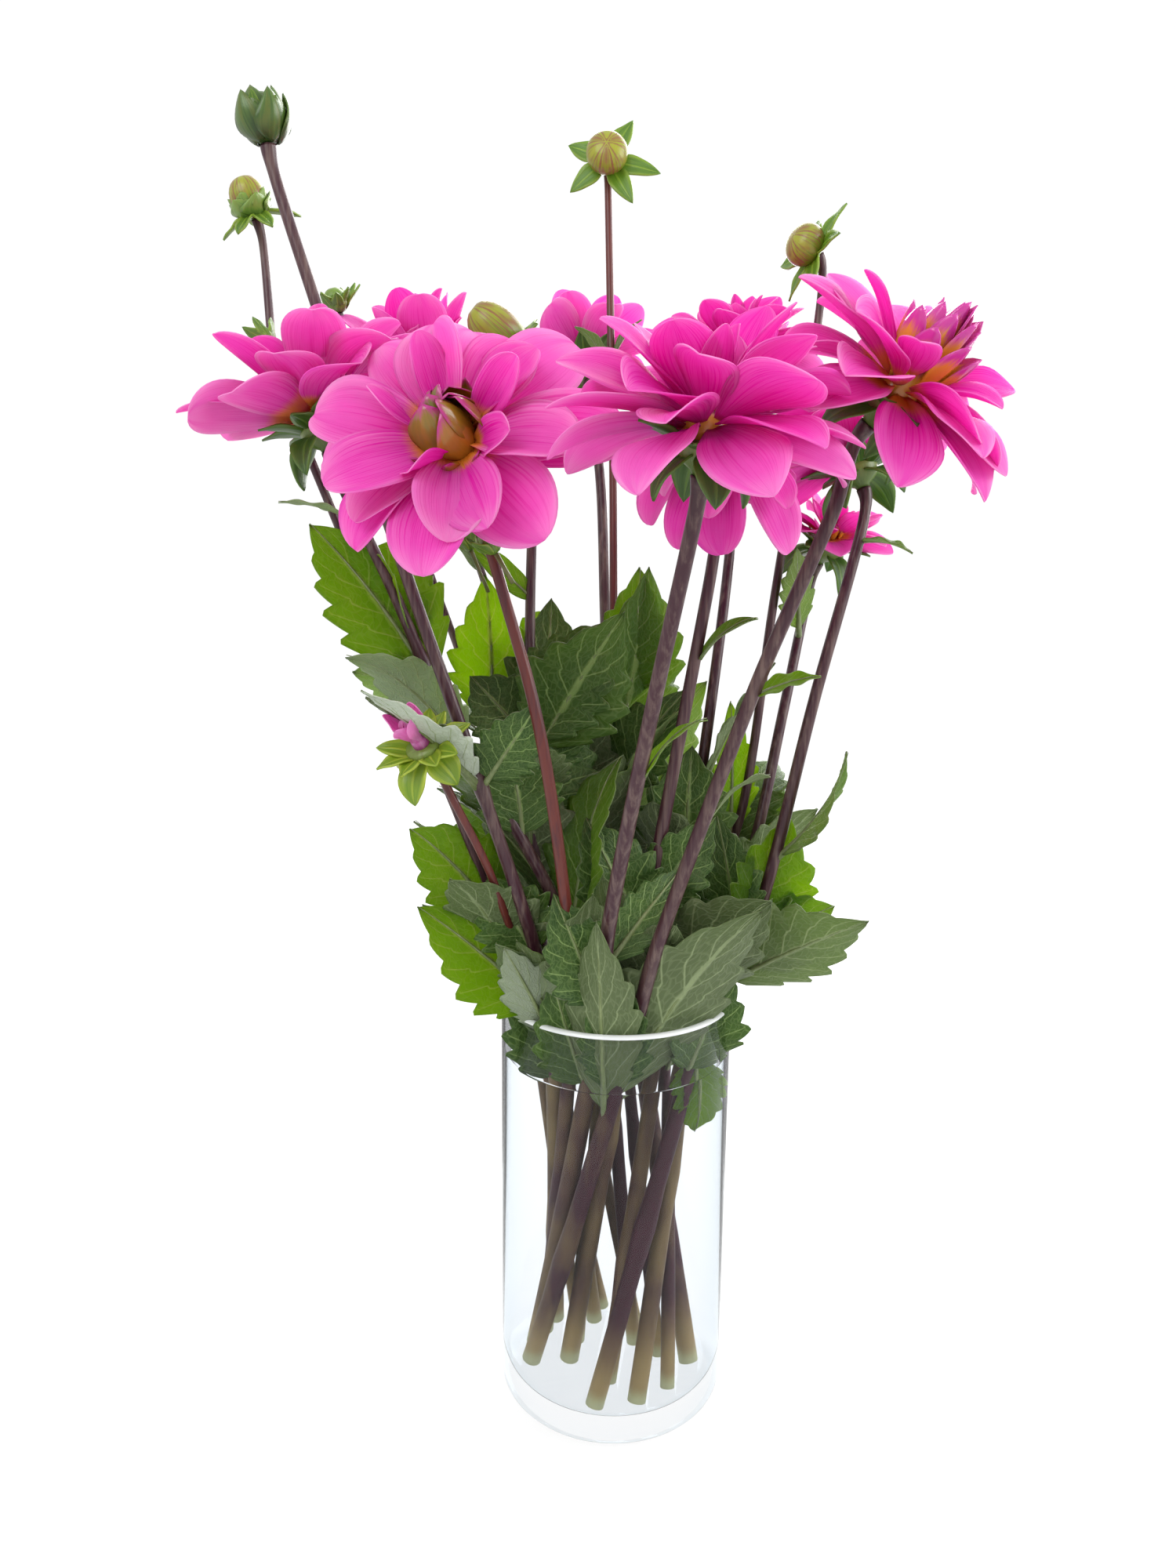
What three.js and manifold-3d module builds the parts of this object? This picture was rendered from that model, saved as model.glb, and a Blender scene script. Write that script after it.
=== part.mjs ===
// Cut dahlias standing in a glass jar of water.
// Millimetres, +Z up. The origin is the middle of the jar's standing face, and -Y is the front.
//
// Seventeen stems twist round each other in the jar and open out above its rim. Eleven carry a
// pink bloom in a green calyx and six carry a bud. Pairs of toothed leaves grow from the stems.

import * as THREE from "three";
import { mergeVertices } from "three/addons/utils/BufferGeometryUtils.js";
import Module from "manifold-3d";

const wasm = await Module();
wasm.setup();

const { sin, cos, floor, PI } = Math;
const TURN = 2 * PI;
const UP = new THREE.Vector3(0, 0, 1);
const place = (x, y, z) => new THREE.Vector3(x, y, z);

// ---------------------------------------------------------------- driving dimensions

const GAP = 0.35; // clearance between pieces that touch

const JAR = { radius: 60, height: 222, wall: 4, floor: 13, corner: 8, lip: 1.6, sides: 32 };
const WATER = { level: 190 };

const FOOT_SPREAD = 0.9; // the feet stand on a circle this much of the one at the rim
const STEM = { sides: 5, spanSteps: 2, taper: 0.3, neck: 16 };

const CALYX = { height: 12, radius: 10, sides: 6, foot: 1.15, shoulder: 0.6 };
const CALYX_BRACTS = { count: 4, length: 26, width: 13, ring: 5, rise: 7, pitch: -0.25, bend: -1.3 };
const HUB = { radius: 9.5, height: 15, sides: 6, shoulder: 0.8, shoulderHeight: 0.7 };
const OPENING_SCALE = 0.8; // the cup and hub of a flower that is only opening
const BUD = { sides: 8, rings: 4 };
const BUD_BRACTS = { length: 0.75, extra: 4, width: 0.75, ring: 0.45, rise: 0.22, bend: 0.15 };

// Each blade's own small differences are shares of these: swing round the flower, tilt and length.
const PETAL = { thick: 1.5, fold: 0.24, swing: 0.18, tilt: 0.13, stretch: 0.1, layerTurn: 0.37 };
const BRACT = { thick: 1.5, fold: 0.2, swing: 0.2, tilt: 0.15, stretch: 0.12 };

const LEAF = { thick: 1.5, fold: 0.28, stalk: 5, stalkEnd: 0.14, plainBelow: 15 };
const TEETH = { count: 4, depth: 0.075, lean: 0.8, tipLean: 0.5, tipDepth: 0.2, edge: 0.5 };
const COLLAR = { wall: 2.6, inset: 1.8, height: 6 };
const LEAFLET_SINK = -2.6; // a leaflet's root lies this far inside its stem's surface

const COLOURS = {
  glass: "#dfe9ee",
  water: "#cfe0e6",
  stem: "#57343f",
  petal: "#e2349f",
  calyx: "#4a6b2c",
  bud: "#75862f",
  leaf: "#3f6330",
};

// Layers of petals from the outside in. pitch is the rise above the flower's face, bend the turn
// from root to tip and roll the lean that lays each petal over the next, all in radians. Lengths
// are for a bloom of size 1.
const LAYERS = {
  open: [
    { count: 8, pitch: 0.1, length: 50, width: 28, bend: -0.25, ring: 7, rise: 3.5, roll: 0.3 },
    { count: 6, pitch: 0.42, length: 44, width: 26, bend: -0.2, ring: 6, rise: 6, roll: -0.3 },
    { count: 5, pitch: 0.9, length: 31, width: 17, bend: 0.35, ring: 4, rise: 9, roll: 0.3 },
  ],
  full: [
    { count: 8, pitch: -0.05, length: 50, width: 27, bend: -0.45, ring: 7, rise: 3.5, roll: 0.3 },
    { count: 6, pitch: 0.4, length: 46, width: 27, bend: -0.3, ring: 6, rise: 6, roll: -0.3 },
    { count: 4, pitch: 0.85, length: 36, width: 20, bend: 0.1, ring: 4, rise: 9, roll: 0.3 },
    { count: 2, pitch: 1.25, length: 26, width: 13, bend: 0.2, ring: 2, rise: 11, roll: 0 },
  ],
  loose: [
    { count: 7, pitch: 0.15, length: 48, width: 28, bend: -0.35, ring: 7, rise: 3.5, roll: 0.3 },
    { count: 5, pitch: 0.6, length: 42, width: 24, bend: -0.1, ring: 5, rise: 7, roll: -0.3 },
    { count: 3, pitch: 1.1, length: 30, width: 17, bend: 0.2, ring: 3, rise: 10, roll: 0 },
  ],
  hanging: [
    { count: 7, pitch: -0.65, length: 48, width: 25, bend: -0.6, ring: 7, rise: 3.5, roll: 0.3 },
    { count: 5, pitch: 0.5, length: 30, width: 18, bend: -0.4, ring: 5, rise: 7, roll: -0.3 },
  ],
  few: [
    { count: 6, pitch: 0.2, length: 48, width: 29, bend: -0.3, ring: 7, rise: 3.5, roll: 0.3 },
    { count: 4, pitch: 0.75, length: 38, width: 22, bend: 0.1, ring: 5, rise: 7, roll: -0.3 },
  ],
  opening: [{ count: 4, pitch: 1.05, length: 26, width: 16, bend: 0.3, ring: 3, rise: 6, roll: 0.2 }],
};

// Each stem: where it crosses the rim, points above it, where it ends and which way its end faces.
const STEMS = {
  front_left: {
    radius: 3.4,
    rim: [-22, -38],
    way: [[-24, -55, 271], [-38, -78, 374]],
    end: [-67, -86, 477],
    face: [-0.15, -0.82, 0.55],
    bloom: { layers: "open", size: 1.1, seed: 11 },
  },
  left: {
    radius: 3.6,
    rim: [-12, -20],
    way: [[-86, -40, 381], [-106, -44, 430]],
    end: [-131, -50, 488],
    face: [-0.3, 0.12, 0.95],
    bloom: { layers: "loose", size: 1.08, seed: 23 },
  },
  back_left: {
    radius: 3,
    rim: [-10, 14],
    way: [[-58, 40, 392], [-78, 50, 450]],
    end: [-101, 68, 520],
    face: [-0.2, -0.15, 0.97],
    bloom: { layers: "loose", size: 0.98, seed: 37 },
  },
  back: {
    radius: 4,
    rim: [8, 45],
    way: [[-6, 80, 394], [-10, 100, 484]],
    end: [-18, 120, 548],
    face: [-0.15, 0.75, 0.65],
    bloom: { layers: "loose", size: 0.88, seed: 41 },
  },
  front: {
    radius: 4.2,
    rim: [-9, -43],
    way: [[-6, -70, 278], [10, -118, 388]],
    end: [23, -148, 470],
    face: [0.05, -0.2, 0.98],
    bloom: { layers: "full", size: 1.08, seed: 53 },
  },
  middle: {
    radius: 3.6,
    rim: [26, -2],
    way: [[39, 10, 307], [57, 40, 447]],
    end: [60, 58, 533],
    face: [0, -0.25, 0.97],
    bloom: { layers: "full", size: 0.92, seed: 67 },
  },
  right: {
    radius: 4,
    rim: [8, -46],
    way: [[18, -62, 271], [54, -90, 391], [80, -104, 462]],
    end: [91, -108, 494],
    face: [0.55, -0.42, 0.72],
    bloom: { layers: "full", size: 1.02, seed: 71 },
  },
  back_right: {
    radius: 3.8,
    rim: [48, -10],
    way: [[72, -10, 271], [97, -5, 382]],
    end: [118, 8, 480],
    face: [-0.3, 0.25, 0.92],
    bloom: { layers: "loose", size: 1.05, seed: 83 },
  },
  hanging: {
    radius: 4,
    rim: [6, -24],
    way: [[17, -20, 290], [40, -20, 430]],
    end: [46, -22, 479],
    face: [0.05, -0.35, 0.94],
    bloom: { layers: "hanging", size: 1, seed: 97 },
  },
  small: {
    radius: 3.8,
    rim: [44, 14],
    way: [[71, 30, 281], [91, 50, 368]],
    end: [110, 72, 446],
    face: [0.3, -0.35, 0.88],
    bloom: { layers: "few", size: 0.66, seed: 101 },
  },
  opening: {
    radius: 2.6,
    rim: [-43, -20],
    way: [[-60, -52, 296], [-75, -66, 334]],
    end: [-84, -71, 353],
    face: [-0.35, -0.5, 0.79],
    bloom: { layers: "opening", size: 1, seed: 113 },
  },
  tall_bud: {
    radius: 3.6,
    rim: [-34, -32],
    way: [[-65, -55, 341], [-95, -60, 431], [-124, -60, 521]],
    end: [-150, -60, 608],
    face: [-0.12, 0, 0.99],
    bud: { radius: 11.5, height: 24, bracts: 7, spread: 0.55, seed: 131 },
  },
  outer_bud: {
    radius: 2.8,
    rim: [-47, -4],
    way: [[-135, -10, 454], [-165, -5, 533]],
    end: [-173, 0, 598],
    face: [-0.3, -0.1, 0.95],
    bud: { radius: 10, height: 19, bracts: 5, spread: 1.35, seed: 139 },
  },
  inner_bud: {
    radius: 2.6,
    rim: [-28, 16],
    way: [[-83, 35, 391], [-99, 40, 434]],
    end: [-149, 60, 571],
    face: [-0.2, 0, 0.98],
    bud: { radius: 7, height: 15, bracts: 6, spread: 0.7, seed: 149 },
  },
  high_bud: {
    radius: 2.8,
    rim: [2, 28],
    way: [[-2, 40, 343], [-4, 70, 488]],
    end: [-9, 90, 655],
    face: [-0.05, -0.45, 0.89],
    bud: { radius: 11, height: 20, bracts: 5, spread: 1.6, seed: 151 },
  },
  right_bud: {
    radius: 3,
    rim: [32, 32],
    way: [[67, 42, 304], [83, 50, 425]],
    end: [97, 41, 597],
    face: [-0.6, -0.3, 0.74],
    bud: { radius: 10, height: 20, bracts: 5, spread: 1.4, seed: 163 },
  },
  centre_bud: {
    radius: 3.4,
    rim: [-33, -9],
    way: [[-40, -8, 260], [-46, 10, 402]],
    end: [-50, 20, 543],
    face: [-0.7, -0.1, 0.7],
    bud: { radius: 8, height: 27, bracts: 3, spread: 1.3, seed: 173 },
  },
};

// Pairs of opposite leaves: the stem, the height of the node on it, and each leaf's tip, width,
// roll about its own length and bend, in millimetres and radians.
const LEAF_PAIRS = [
  { stem: "left", z: 396, leaves: [{ tip: [-142, -18, 462], width: 40, roll: 0.9, bend: -0.5 },
    { tip: [-112, 10, 446], width: 30, roll: -0.8, bend: -0.4 }] },
  { stem: "tall_bud", z: 341, leaves: [{ tip: [-110, -92, 384], width: 22, roll: 0.2, bend: -0.4 },
    { tip: [-38, -84, 378], width: 24, roll: -0.6, bend: -0.3 }] },
  { stem: "inner_bud", z: 350, leaves: [{ tip: [-63, 6, 436], width: 36, roll: -0.4, bend: -0.2 },
    { tip: [-118, 62, 372], width: 40, roll: 0.2, bend: -0.6 }] },
  { stem: "centre_bud", z: 345, leaves: [{ tip: [-6, -36, 418], width: 46, roll: -0.9, bend: -0.3 },
    { tip: [-33, 34, 424], width: 38, roll: 0.6, bend: -0.3 }] },
  { stem: "high_bud", z: 336, leaves: [{ tip: [20, 24, 440], width: 48, roll: -0.4, bend: -0.2 },
    { tip: [-60, 78, 384], width: 44, roll: 0.5, bend: -0.6 }] },
  { stem: "outer_bud", z: 234, leaves: [{ tip: [-99, -24, 278], width: 32, roll: 0.9, bend: -0.3 },
    { tip: [-104, 16, 312], width: 36, roll: 0.8, bend: -0.4 }] },
  { stem: "opening", z: 232, leaves: [{ tip: [-78, -62, 304], width: 40, roll: 0.3, bend: -0.3 },
    { tip: [-66, 14, 300], width: 30, roll: 0.4, bend: -0.3 }] },
  { stem: "front_left", z: 206, leaves: [{ tip: [-11, -64, 298], width: 34, roll: 0, bend: -0.2 },
    { tip: [-56, -62, 268], width: 30, roll: 0.3, bend: -0.3 }] },
  { stem: "hanging", z: 206, leaves: [{ tip: [64, -80, 288], width: 52, roll: 0, bend: -0.4 },
    { tip: [-12, -42, 300], width: 34, roll: 0, bend: -0.2 }] },
  { stem: "left", z: 262, leaves: [{ tip: [-8, -18, 352], width: 40, roll: 0.2, bend: -0.2 },
    { tip: [-92, 26, 330], width: 38, roll: 0.3, bend: -0.5 }] },
  { stem: "back_right", z: 230, leaves: [{ tip: [114, -60, 282], width: 40, roll: 0, bend: -0.2 },
    { tip: [96, 34, 296], width: 40, roll: 0.3, bend: -0.5 }] },
  { stem: "small", z: 248, leaves: [{ tip: [106, 38, 316], width: 50, roll: -0.9, bend: -0.3 },
    { tip: [52, 84, 300], width: 44, roll: 0.2, bend: -0.6 }] },
  { stem: "back", z: 258, leaves: [{ tip: [44, 104, 330], width: 46, roll: -0.2, bend: -0.6 },
    { tip: [-50, 96, 314], width: 46, roll: 0.2, bend: -0.6 }] },
];

// Leaves and leaflets that stay part of their stem.
const LEAFLETS = [
  { stem: "left", z: 352, tip: [-116, -66, 410], width: 28, roll: 0.6, bend: -0.3 },
  { stem: "centre_bud", z: 318, tip: [-38, -44, 360], width: 28, roll: 0.1, bend: -0.3 },
  { stem: "high_bud", z: 292, tip: [32, 4, 374], width: 40, roll: 0, bend: -0.3 },
  { stem: "middle", z: 276, tip: [8, 24, 348], width: 34, roll: 0.4, bend: -0.4 },
  { stem: "middle", z: 330, tip: [76, -4, 394], width: 24, roll: 0.2, bend: -0.3 },
  { stem: "right_bud", z: 286, tip: [92, 82, 340], width: 36, roll: 0.2, bend: -0.5 },
  { stem: "right_bud", z: 254, tip: [34, 84, 336], width: 36, roll: 0, bend: -0.4 },
  { stem: "back_left", z: 296, tip: [-74, 74, 332], width: 40, roll: 0.2, bend: -0.6 },
  { stem: "back_left", z: 350, tip: [-40, 88, 404], width: 34, roll: 0, bend: -0.4 },
  { stem: "back", z: 336, tip: [28, 132, 390], width: 38, roll: 0, bend: -0.5 },
  { stem: "front", z: 353, tip: [30, -106, 382], width: 11, roll: 0.3, bend: -0.5 },
  { stem: "hanging", z: 398, tip: [62, -28, 420], width: 11, roll: 0.3, bend: -0.5 },
  { stem: "right", z: 388, tip: [80, -94, 396], width: 13, roll: 0.4, bend: -0.4 },
  { stem: "right", z: 330, tip: [66, -58, 352], width: 12, roll: -0.4, bend: -0.4 },
  { stem: "back_left", z: 440, tip: [-92, 42, 470], width: 12, roll: 0.6, bend: -0.3 },
  { stem: "left", z: 460, tip: [-152, -58, 466], width: 12, roll: 0, bend: -0.5 },
  { stem: "high_bud", z: 550, tip: [-24, 78, 572], width: 9, roll: 0.4, bend: -0.4 },
  { stem: "high_bud", z: 556, tip: [10, 84, 576], width: 9, roll: -0.4, bend: -0.4 },
  { stem: "small", z: 405, tip: [94, 30, 454], width: 18, roll: 0.5, bend: -0.2 },
  { stem: "back_right", z: 455, tip: [138, -14, 448], width: 11, roll: 0, bend: -0.6 },
  { stem: "outer_bud", z: 520, tip: [-172, -14, 542], width: 8, roll: 0, bend: -0.4 },
];

// ---------------------------------------------------------------- solids

// One value from -1 to 1 for each seed.
function wobble(seed) {
  const value = sin(seed * 12.9898) * 43758.5453;
  return (value - floor(value)) * 2 - 1;
}

// A closed three.js mesh as a solid that can be joined and cut.
function solidOf(geometry) {
  const bare = geometry.clone();
  bare.deleteAttribute("normal");
  bare.deleteAttribute("uv");
  const merged = mergeVertices(bare, 1e-4);
  return new wasm.Manifold(
    new wasm.Mesh({
      numProp: 3,
      vertProperties: merged.attributes.position.array,
      triVerts: new Uint32Array(merged.index.array),
    }),
  );
}

function geometryOf(solid) {
  const mesh = solid.getMesh();
  const geometry = new THREE.BufferGeometry();
  geometry.setAttribute("position", new THREE.BufferAttribute(mesh.vertProperties, 3));
  geometry.setIndex(new THREE.BufferAttribute(mesh.triVerts, 1));
  geometry.computeVertexNormals();
  return geometry;
}

const joined = (solids) => wasm.Manifold.union(solids);

function largestBody(solid) {
  const bodies = solid.decompose();
  return bodies.reduce((best, body) => (body.volume() > best.volume() ? body : best));
}

// A solid of revolution about Z from points of radius and height that start and end on the axis.
function turned(profile, sides) {
  const points = profile.map(([radius, height]) => new THREE.Vector2(radius, height));
  const geometry = new THREE.LatheGeometry(points, sides);
  geometry.rotateX(PI / 2);
  return geometry;
}

// Points on a quarter circle from one angle to another.
function arc(x, z, radius, from, to, steps) {
  return Array.from({ length: steps + 1 }, (_, i) => {
    const angle = from + ((to - from) * i) / steps;
    return [x + radius * cos(angle), z + radius * sin(angle)];
  });
}

// The frame of a flower's head: two directions across it and the one it faces.
function headFrame(face) {
  const axis = place(...face).normalize();
  const across = new THREE.Vector3().crossVectors(UP, axis);
  if (across.length() < 0.01) across.set(1, 0, 0);
  across.normalize();
  return { across, over: new THREE.Vector3().crossVectors(axis, across), axis };
}

function standing(geometry, origin, { across, over, axis }) {
  return geometry.applyMatrix4(new THREE.Matrix4().makeBasis(across, over, axis).setPosition(origin));
}

// A blade is a closed leaf or petal on a bent centre line. Its edges are folded up and, where it
// has teeth, each stretch of edge runs out to a point. A margin makes it larger all over.
function blade({ root, along, normal, length, width, bend, fold, thick, outline, teeth }, margin = 0) {
  const reach = length + margin;
  const side = new THREE.Vector3().crossVectors(along, normal).normalize();
  const turn = Math.abs(bend) < 1e-3 ? 1e-3 : bend;
  const at = (t, across, lift) => {
    const middle = root.clone().addScaledVector(along, (reach / turn) * sin(turn * t));
    middle.addScaledVector(normal, (reach / turn) * (1 - cos(turn * t)));
    const raised = lift + fold * Math.abs(across);
    middle.addScaledVector(normal, cos(turn * t) * raised).addScaledVector(along, -sin(turn * t) * raised);
    return middle.addScaledVector(side, across);
  };
  const half = thick / 2 + margin;
  const edgeHalf = teeth ? half * TEETH.edge : 0;
  const vertices = [];
  const triangles = [];
  const add = (point) => vertices.push(point.x, point.y, point.z) / 3 - 1;
  const both = (a, b, c) => triangles.push([a.top, b.top, c.top], [c.under, b.under, a.under]);
  const pair = (t, across, lift) => ({ top: add(at(t, across, lift)), under: add(at(t, across, -lift)) });
  const single = (t, across) => {
    const index = add(at(t, across, 0));
    return { top: index, under: index };
  };
  const last = outline.length - 1;
  const rows = outline.map(([t, share], i) => {
    if (i === last) {
      const tip = single(1, 0);
      return { middle: tip, edges: [tip, tip] };
    }
    const across = (share * width) / 2 + margin;
    const edge = (a) => (teeth ? pair(t, a, edgeHalf) : single(t, a));
    return { t, across, middle: pair(t, 0, half), edges: [edge(-across), edge(across)] };
  });
  for (let i = 0; i < last; i += 1) {
    const [low, high] = [rows[i], rows[i + 1]];
    [0, 1].forEach((hand) => {
      const [lowEdge, highEdge] = [low.edges[hand], high.edges[hand]];
      const order = (a, b, c) => (hand ? both(a, b, c) : both(c, b, a));
      const atTip = i === last - 1;
      order(low.middle, lowEdge, highEdge);
      if (!atTip) order(low.middle, highEdge, high.middle);
      if (!teeth) return;
      // The tooth leans towards the tip.
      const [t0, t1] = [outline[i][0], outline[i + 1][0]];
      const next = atTip ? 0 : high.across;
      const share = atTip ? TEETH.tipLean : TEETH.lean;
      const depth = atTip ? TEETH.tipDepth : TEETH.depth * (low.across + next);
      const out = low.across + (next - low.across) * share + depth;
      const tooth = single(t0 + (t1 - t0) * share, hand ? out : -out);
      order(lowEdge, tooth, highEdge);
      const wall = (a, b, c) => triangles.push(hand ? [a, b, c] : [c, b, a]);
      wall(lowEdge.under, tooth.top, lowEdge.top);
      if (!atTip) wall(highEdge.top, tooth.top, highEdge.under);
    });
  }
  // The root end is closed across its four corners.
  const [left, right] = rows[0].edges;
  const { middle } = rows[0];
  triangles.push([middle.top, left.top, middle.under], [middle.top, middle.under, right.top]);
  if (teeth) triangles.push([left.top, left.under, middle.under], [middle.under, right.under, right.top]);
  const geometry = new THREE.BufferGeometry();
  geometry.setAttribute("position", new THREE.Float32BufferAttribute(vertices, 3));
  geometry.setIndex(triangles.flat());
  return solidOf(geometry);
}

const PETAL_OUTLINE = [[0, 0.12], [0.42, 0.88], [0.78, 0.88], [1, 0]];
const BRACT_OUTLINE = [[0, 0.3], [0.4, 1], [1, 0]];

// A leaf's outline: a narrow stalk, then a broad oval that narrows to a point.
function leafOutline(width) {
  if (width < LEAF.plainBelow) return BRACT_OUTLINE;
  const stalk = Math.min(1, LEAF.stalk / width);
  const oval = Array.from({ length: TEETH.count }, (_, i) => {
    const t = 0.16 + (0.84 * (i + 1)) / (TEETH.count + 1);
    return [t, 0.95 * sin(PI * ((t - 0.08) / 0.97) ** 0.82) + 0.04];
  });
  return [[0, stalk], [LEAF.stalkEnd, stalk * 0.8], ...oval, [1, 0]];
}

// ---------------------------------------------------------------- jar and water

function jar() {
  const { radius, height, wall, floor: base, corner, lip, sides } = JAR;
  const inner = radius - wall;
  return turned(
    [
      [0, 0],
      ...arc(radius - corner, corner, corner, -PI / 2, 0, 2),
      ...arc(radius - lip, height - lip, lip, 0, PI / 2, 1),
      ...arc(inner + lip, height - lip, lip, PI / 2, PI, 1),
      ...arc(inner - corner, base + corner, corner, 0, -PI / 2, 2),
      [0, base],
    ],
    sides,
  );
}

function water() {
  const radius = JAR.radius - JAR.wall - GAP;
  const base = JAR.floor + GAP;
  const profile = [
    [0, base],
    ...arc(radius - JAR.corner, base + JAR.corner, JAR.corner, -PI / 2, 0, 2),
    [radius, WATER.level],
    [0, WATER.level],
  ];
  return solidOf(turned(profile, JAR.sides));
}

// ---------------------------------------------------------------- stems

// The line of a stem from its foot in the jar to its end. Each stem crosses the jar a quarter
// turn round from where it leaves the rim, so none meets another.
function stemCurve({ rim, way, end, face }) {
  const [x, y] = rim;
  const foot = place(y * FOOT_SPREAD, -x * FOOT_SPREAD, JAR.floor + GAP);
  const top = place(...end);
  const neck = top.clone().addScaledVector(place(...face).normalize(), -STEM.neck);
  const points = [foot, place(x, y, JAR.height), ...way.map((p) => place(...p)), neck, top];
  return new THREE.CatmullRomCurve3(points, false, "catmullrom", 0.5);
}

// Stations on a stem, each with its middle, radius and two directions across.
function stations(stem) {
  const curve = stemCurve(stem);
  const length = curve.getLength();
  const spans = curve.points.length - 1;
  // One step in the jar, one in the short neck and some in each span between them.
  const steps = [0];
  for (let i = 1; i < spans - 1; i += 1) {
    for (let k = 0; k < STEM.spanSteps; k += 1) steps.push((i + k / STEM.spanSteps) / spans);
  }
  steps.push((spans - 1) / spans, 1);
  const last = steps.length - 1;
  return steps.map((t, i) => {
    const middle = curve.getPoint(t);
    const along = curve.getTangent(t);
    if (i === 0) along.copy(UP);
    if (i === last) along.copy(place(...stem.face).normalize());
    const across = place(1, 0, 0).addScaledVector(along, -along.x).normalize();
    const over = new THREE.Vector3().crossVectors(along, across);
    const risen = (middle.z - curve.points[0].z) / length;
    return { middle, along, across, over, radius: stem.radius * (1 - STEM.taper * risen) };
  });
}

// The stem itself is a cylinder whose rings are moved onto the stations.
function stemSolid(line, margin = 0) {
  const end = line.length - 1;
  const geometry = new THREE.CylinderGeometry(1, 1, 1, STEM.sides, end);
  const position = geometry.attributes.position;
  for (let i = 0; i < position.count; i += 1) {
    const index = Math.round((position.getY(i) + 0.5) * end);
    const { middle, along, across, over, radius } = line[index];
    const size = radius + margin;
    const point = middle.clone();
    point.addScaledVector(across, position.getX(i) * size);
    point.addScaledVector(over, -position.getZ(i) * size);
    point.addScaledVector(along, index === 0 ? -margin : index === end ? margin : 0);
    position.setXYZ(i, point.x, point.y, point.z);
  }
  return solidOf(geometry);
}

// The place on a stem at a height.
function nodeAt(line, z) {
  const i = line.findIndex((station, k) => k > 0 && station.middle.z >= z);
  const [low, high] = [line[i - 1], line[i]];
  const share = (z - low.middle.z) / (high.middle.z - low.middle.z);
  const along = high.middle.clone().sub(low.middle).normalize();
  const across = place(1, 0, 0).addScaledVector(along, -along.x).normalize();
  return {
    middle: low.middle.clone().lerp(high.middle, share),
    along,
    across,
    over: new THREE.Vector3().crossVectors(along, across),
    radius: low.radius + (high.radius - low.radius) * share,
  };
}

// ---------------------------------------------------------------- calyx, bloom and bud

// A blade that grows out from a flower's axis at an angle round it and rises at a pitch.
function outwardBlade(origin, { across, over, axis }, angle, pitch, { ring, rise, roll, ...shape }) {
  const outward = across.clone().multiplyScalar(cos(angle)).addScaledVector(over, sin(angle));
  const along = outward.clone().multiplyScalar(cos(pitch)).addScaledVector(axis, sin(pitch));
  const normal = outward.clone().multiplyScalar(-sin(pitch)).addScaledVector(axis, cos(pitch));
  return {
    ...shape,
    root: origin.clone().addScaledVector(axis, rise).addScaledVector(outward, ring),
    along,
    normal: normal.applyAxisAngle(along, roll),
    teeth: false,
  };
}

function bractBlades(origin, frame, seed, { count, length, width, ring, rise, pitch, bend }) {
  const { thick, fold, swing, tilt, stretch } = BRACT;
  return Array.from({ length: count }, (_, i) => {
    const angle = (TURN * (i + swing * wobble(seed + i))) / count;
    const own = length * (1 + stretch * wobble(seed + 57 + i));
    const shape = { length: own, width, ring, rise, roll: 0, bend, fold, thick, outline: BRACT_OUTLINE };
    return outwardBlade(origin, frame, angle, pitch + tilt * wobble(seed + 31 + i), shape);
  });
}

function calyxCup(stem, origin, frame, scale) {
  const foot = stem.radius * (1 - STEM.taper) * CALYX.foot;
  const { height, radius, shoulder, sides } = CALYX;
  const wide = radius * scale;
  const profile = [[0, 0], [foot, 0], [wide, height * shoulder], [wide, height], [0, height]];
  return solidOf(standing(turned(profile, sides), origin, frame));
}

function calyxBracts(origin, frame, { seed }, scale) {
  const { length, ring } = CALYX_BRACTS;
  const bracts = { ...CALYX_BRACTS, length: length * scale, ring: ring * scale };
  return bractBlades(origin, frame, seed, bracts);
}

function bloomHub(origin, frame, size) {
  const wide = HUB.radius * size;
  const tall = HUB.height * size;
  const profile = [[0, 0], [wide, 0], [wide * HUB.shoulder, tall * HUB.shoulderHeight], [0, tall]];
  return solidOf(standing(turned(profile, HUB.sides), origin, frame));
}

function petalBlades(origin, frame, { layers, size, seed }) {
  const { thick, fold, swing, tilt, stretch, layerTurn } = PETAL;
  return LAYERS[layers].flatMap((layer, row) =>
    Array.from({ length: layer.count }, (_, i) => {
      const key = seed + row * 100 + i * 3;
      const turn = i + 0.5 * (row % 2) + swing * wobble(key);
      const shape = {
        length: layer.length * size * (1 + stretch * wobble(key + 2)),
        width: layer.width * size,
        ring: layer.ring * size,
        rise: layer.rise * size,
        roll: layer.roll,
        bend: layer.bend,
        fold,
        thick,
        outline: PETAL_OUTLINE,
      };
      const angle = (TURN * turn) / layer.count + layerTurn * row;
      return outwardBlade(origin, frame, angle, layer.pitch + tilt * wobble(key + 1), shape);
    }),
  );
}

// A bud is a ball of closed petals with green bracts round its foot.
function budBall(origin, frame, { radius, height }) {
  const profile = Array.from({ length: BUD.rings + 1 }, (_, i) => {
    const angle = (PI * i) / BUD.rings;
    return [i % BUD.rings ? radius * sin(angle) : 0, (height / 2) * (1 - cos(angle))];
  });
  return solidOf(standing(turned(profile, BUD.sides), origin, frame));
}

function budBracts(origin, frame, { radius, height, bracts, spread, seed }) {
  const { length, extra, width, ring, rise, bend } = BUD_BRACTS;
  return bractBlades(origin, frame, seed, {
    count: bracts,
    length: height * length + extra,
    width: radius * width,
    ring: radius * ring,
    rise: height * rise,
    pitch: PI / 2 - spread,
    bend,
  });
}

// ---------------------------------------------------------------- leaves

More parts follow.
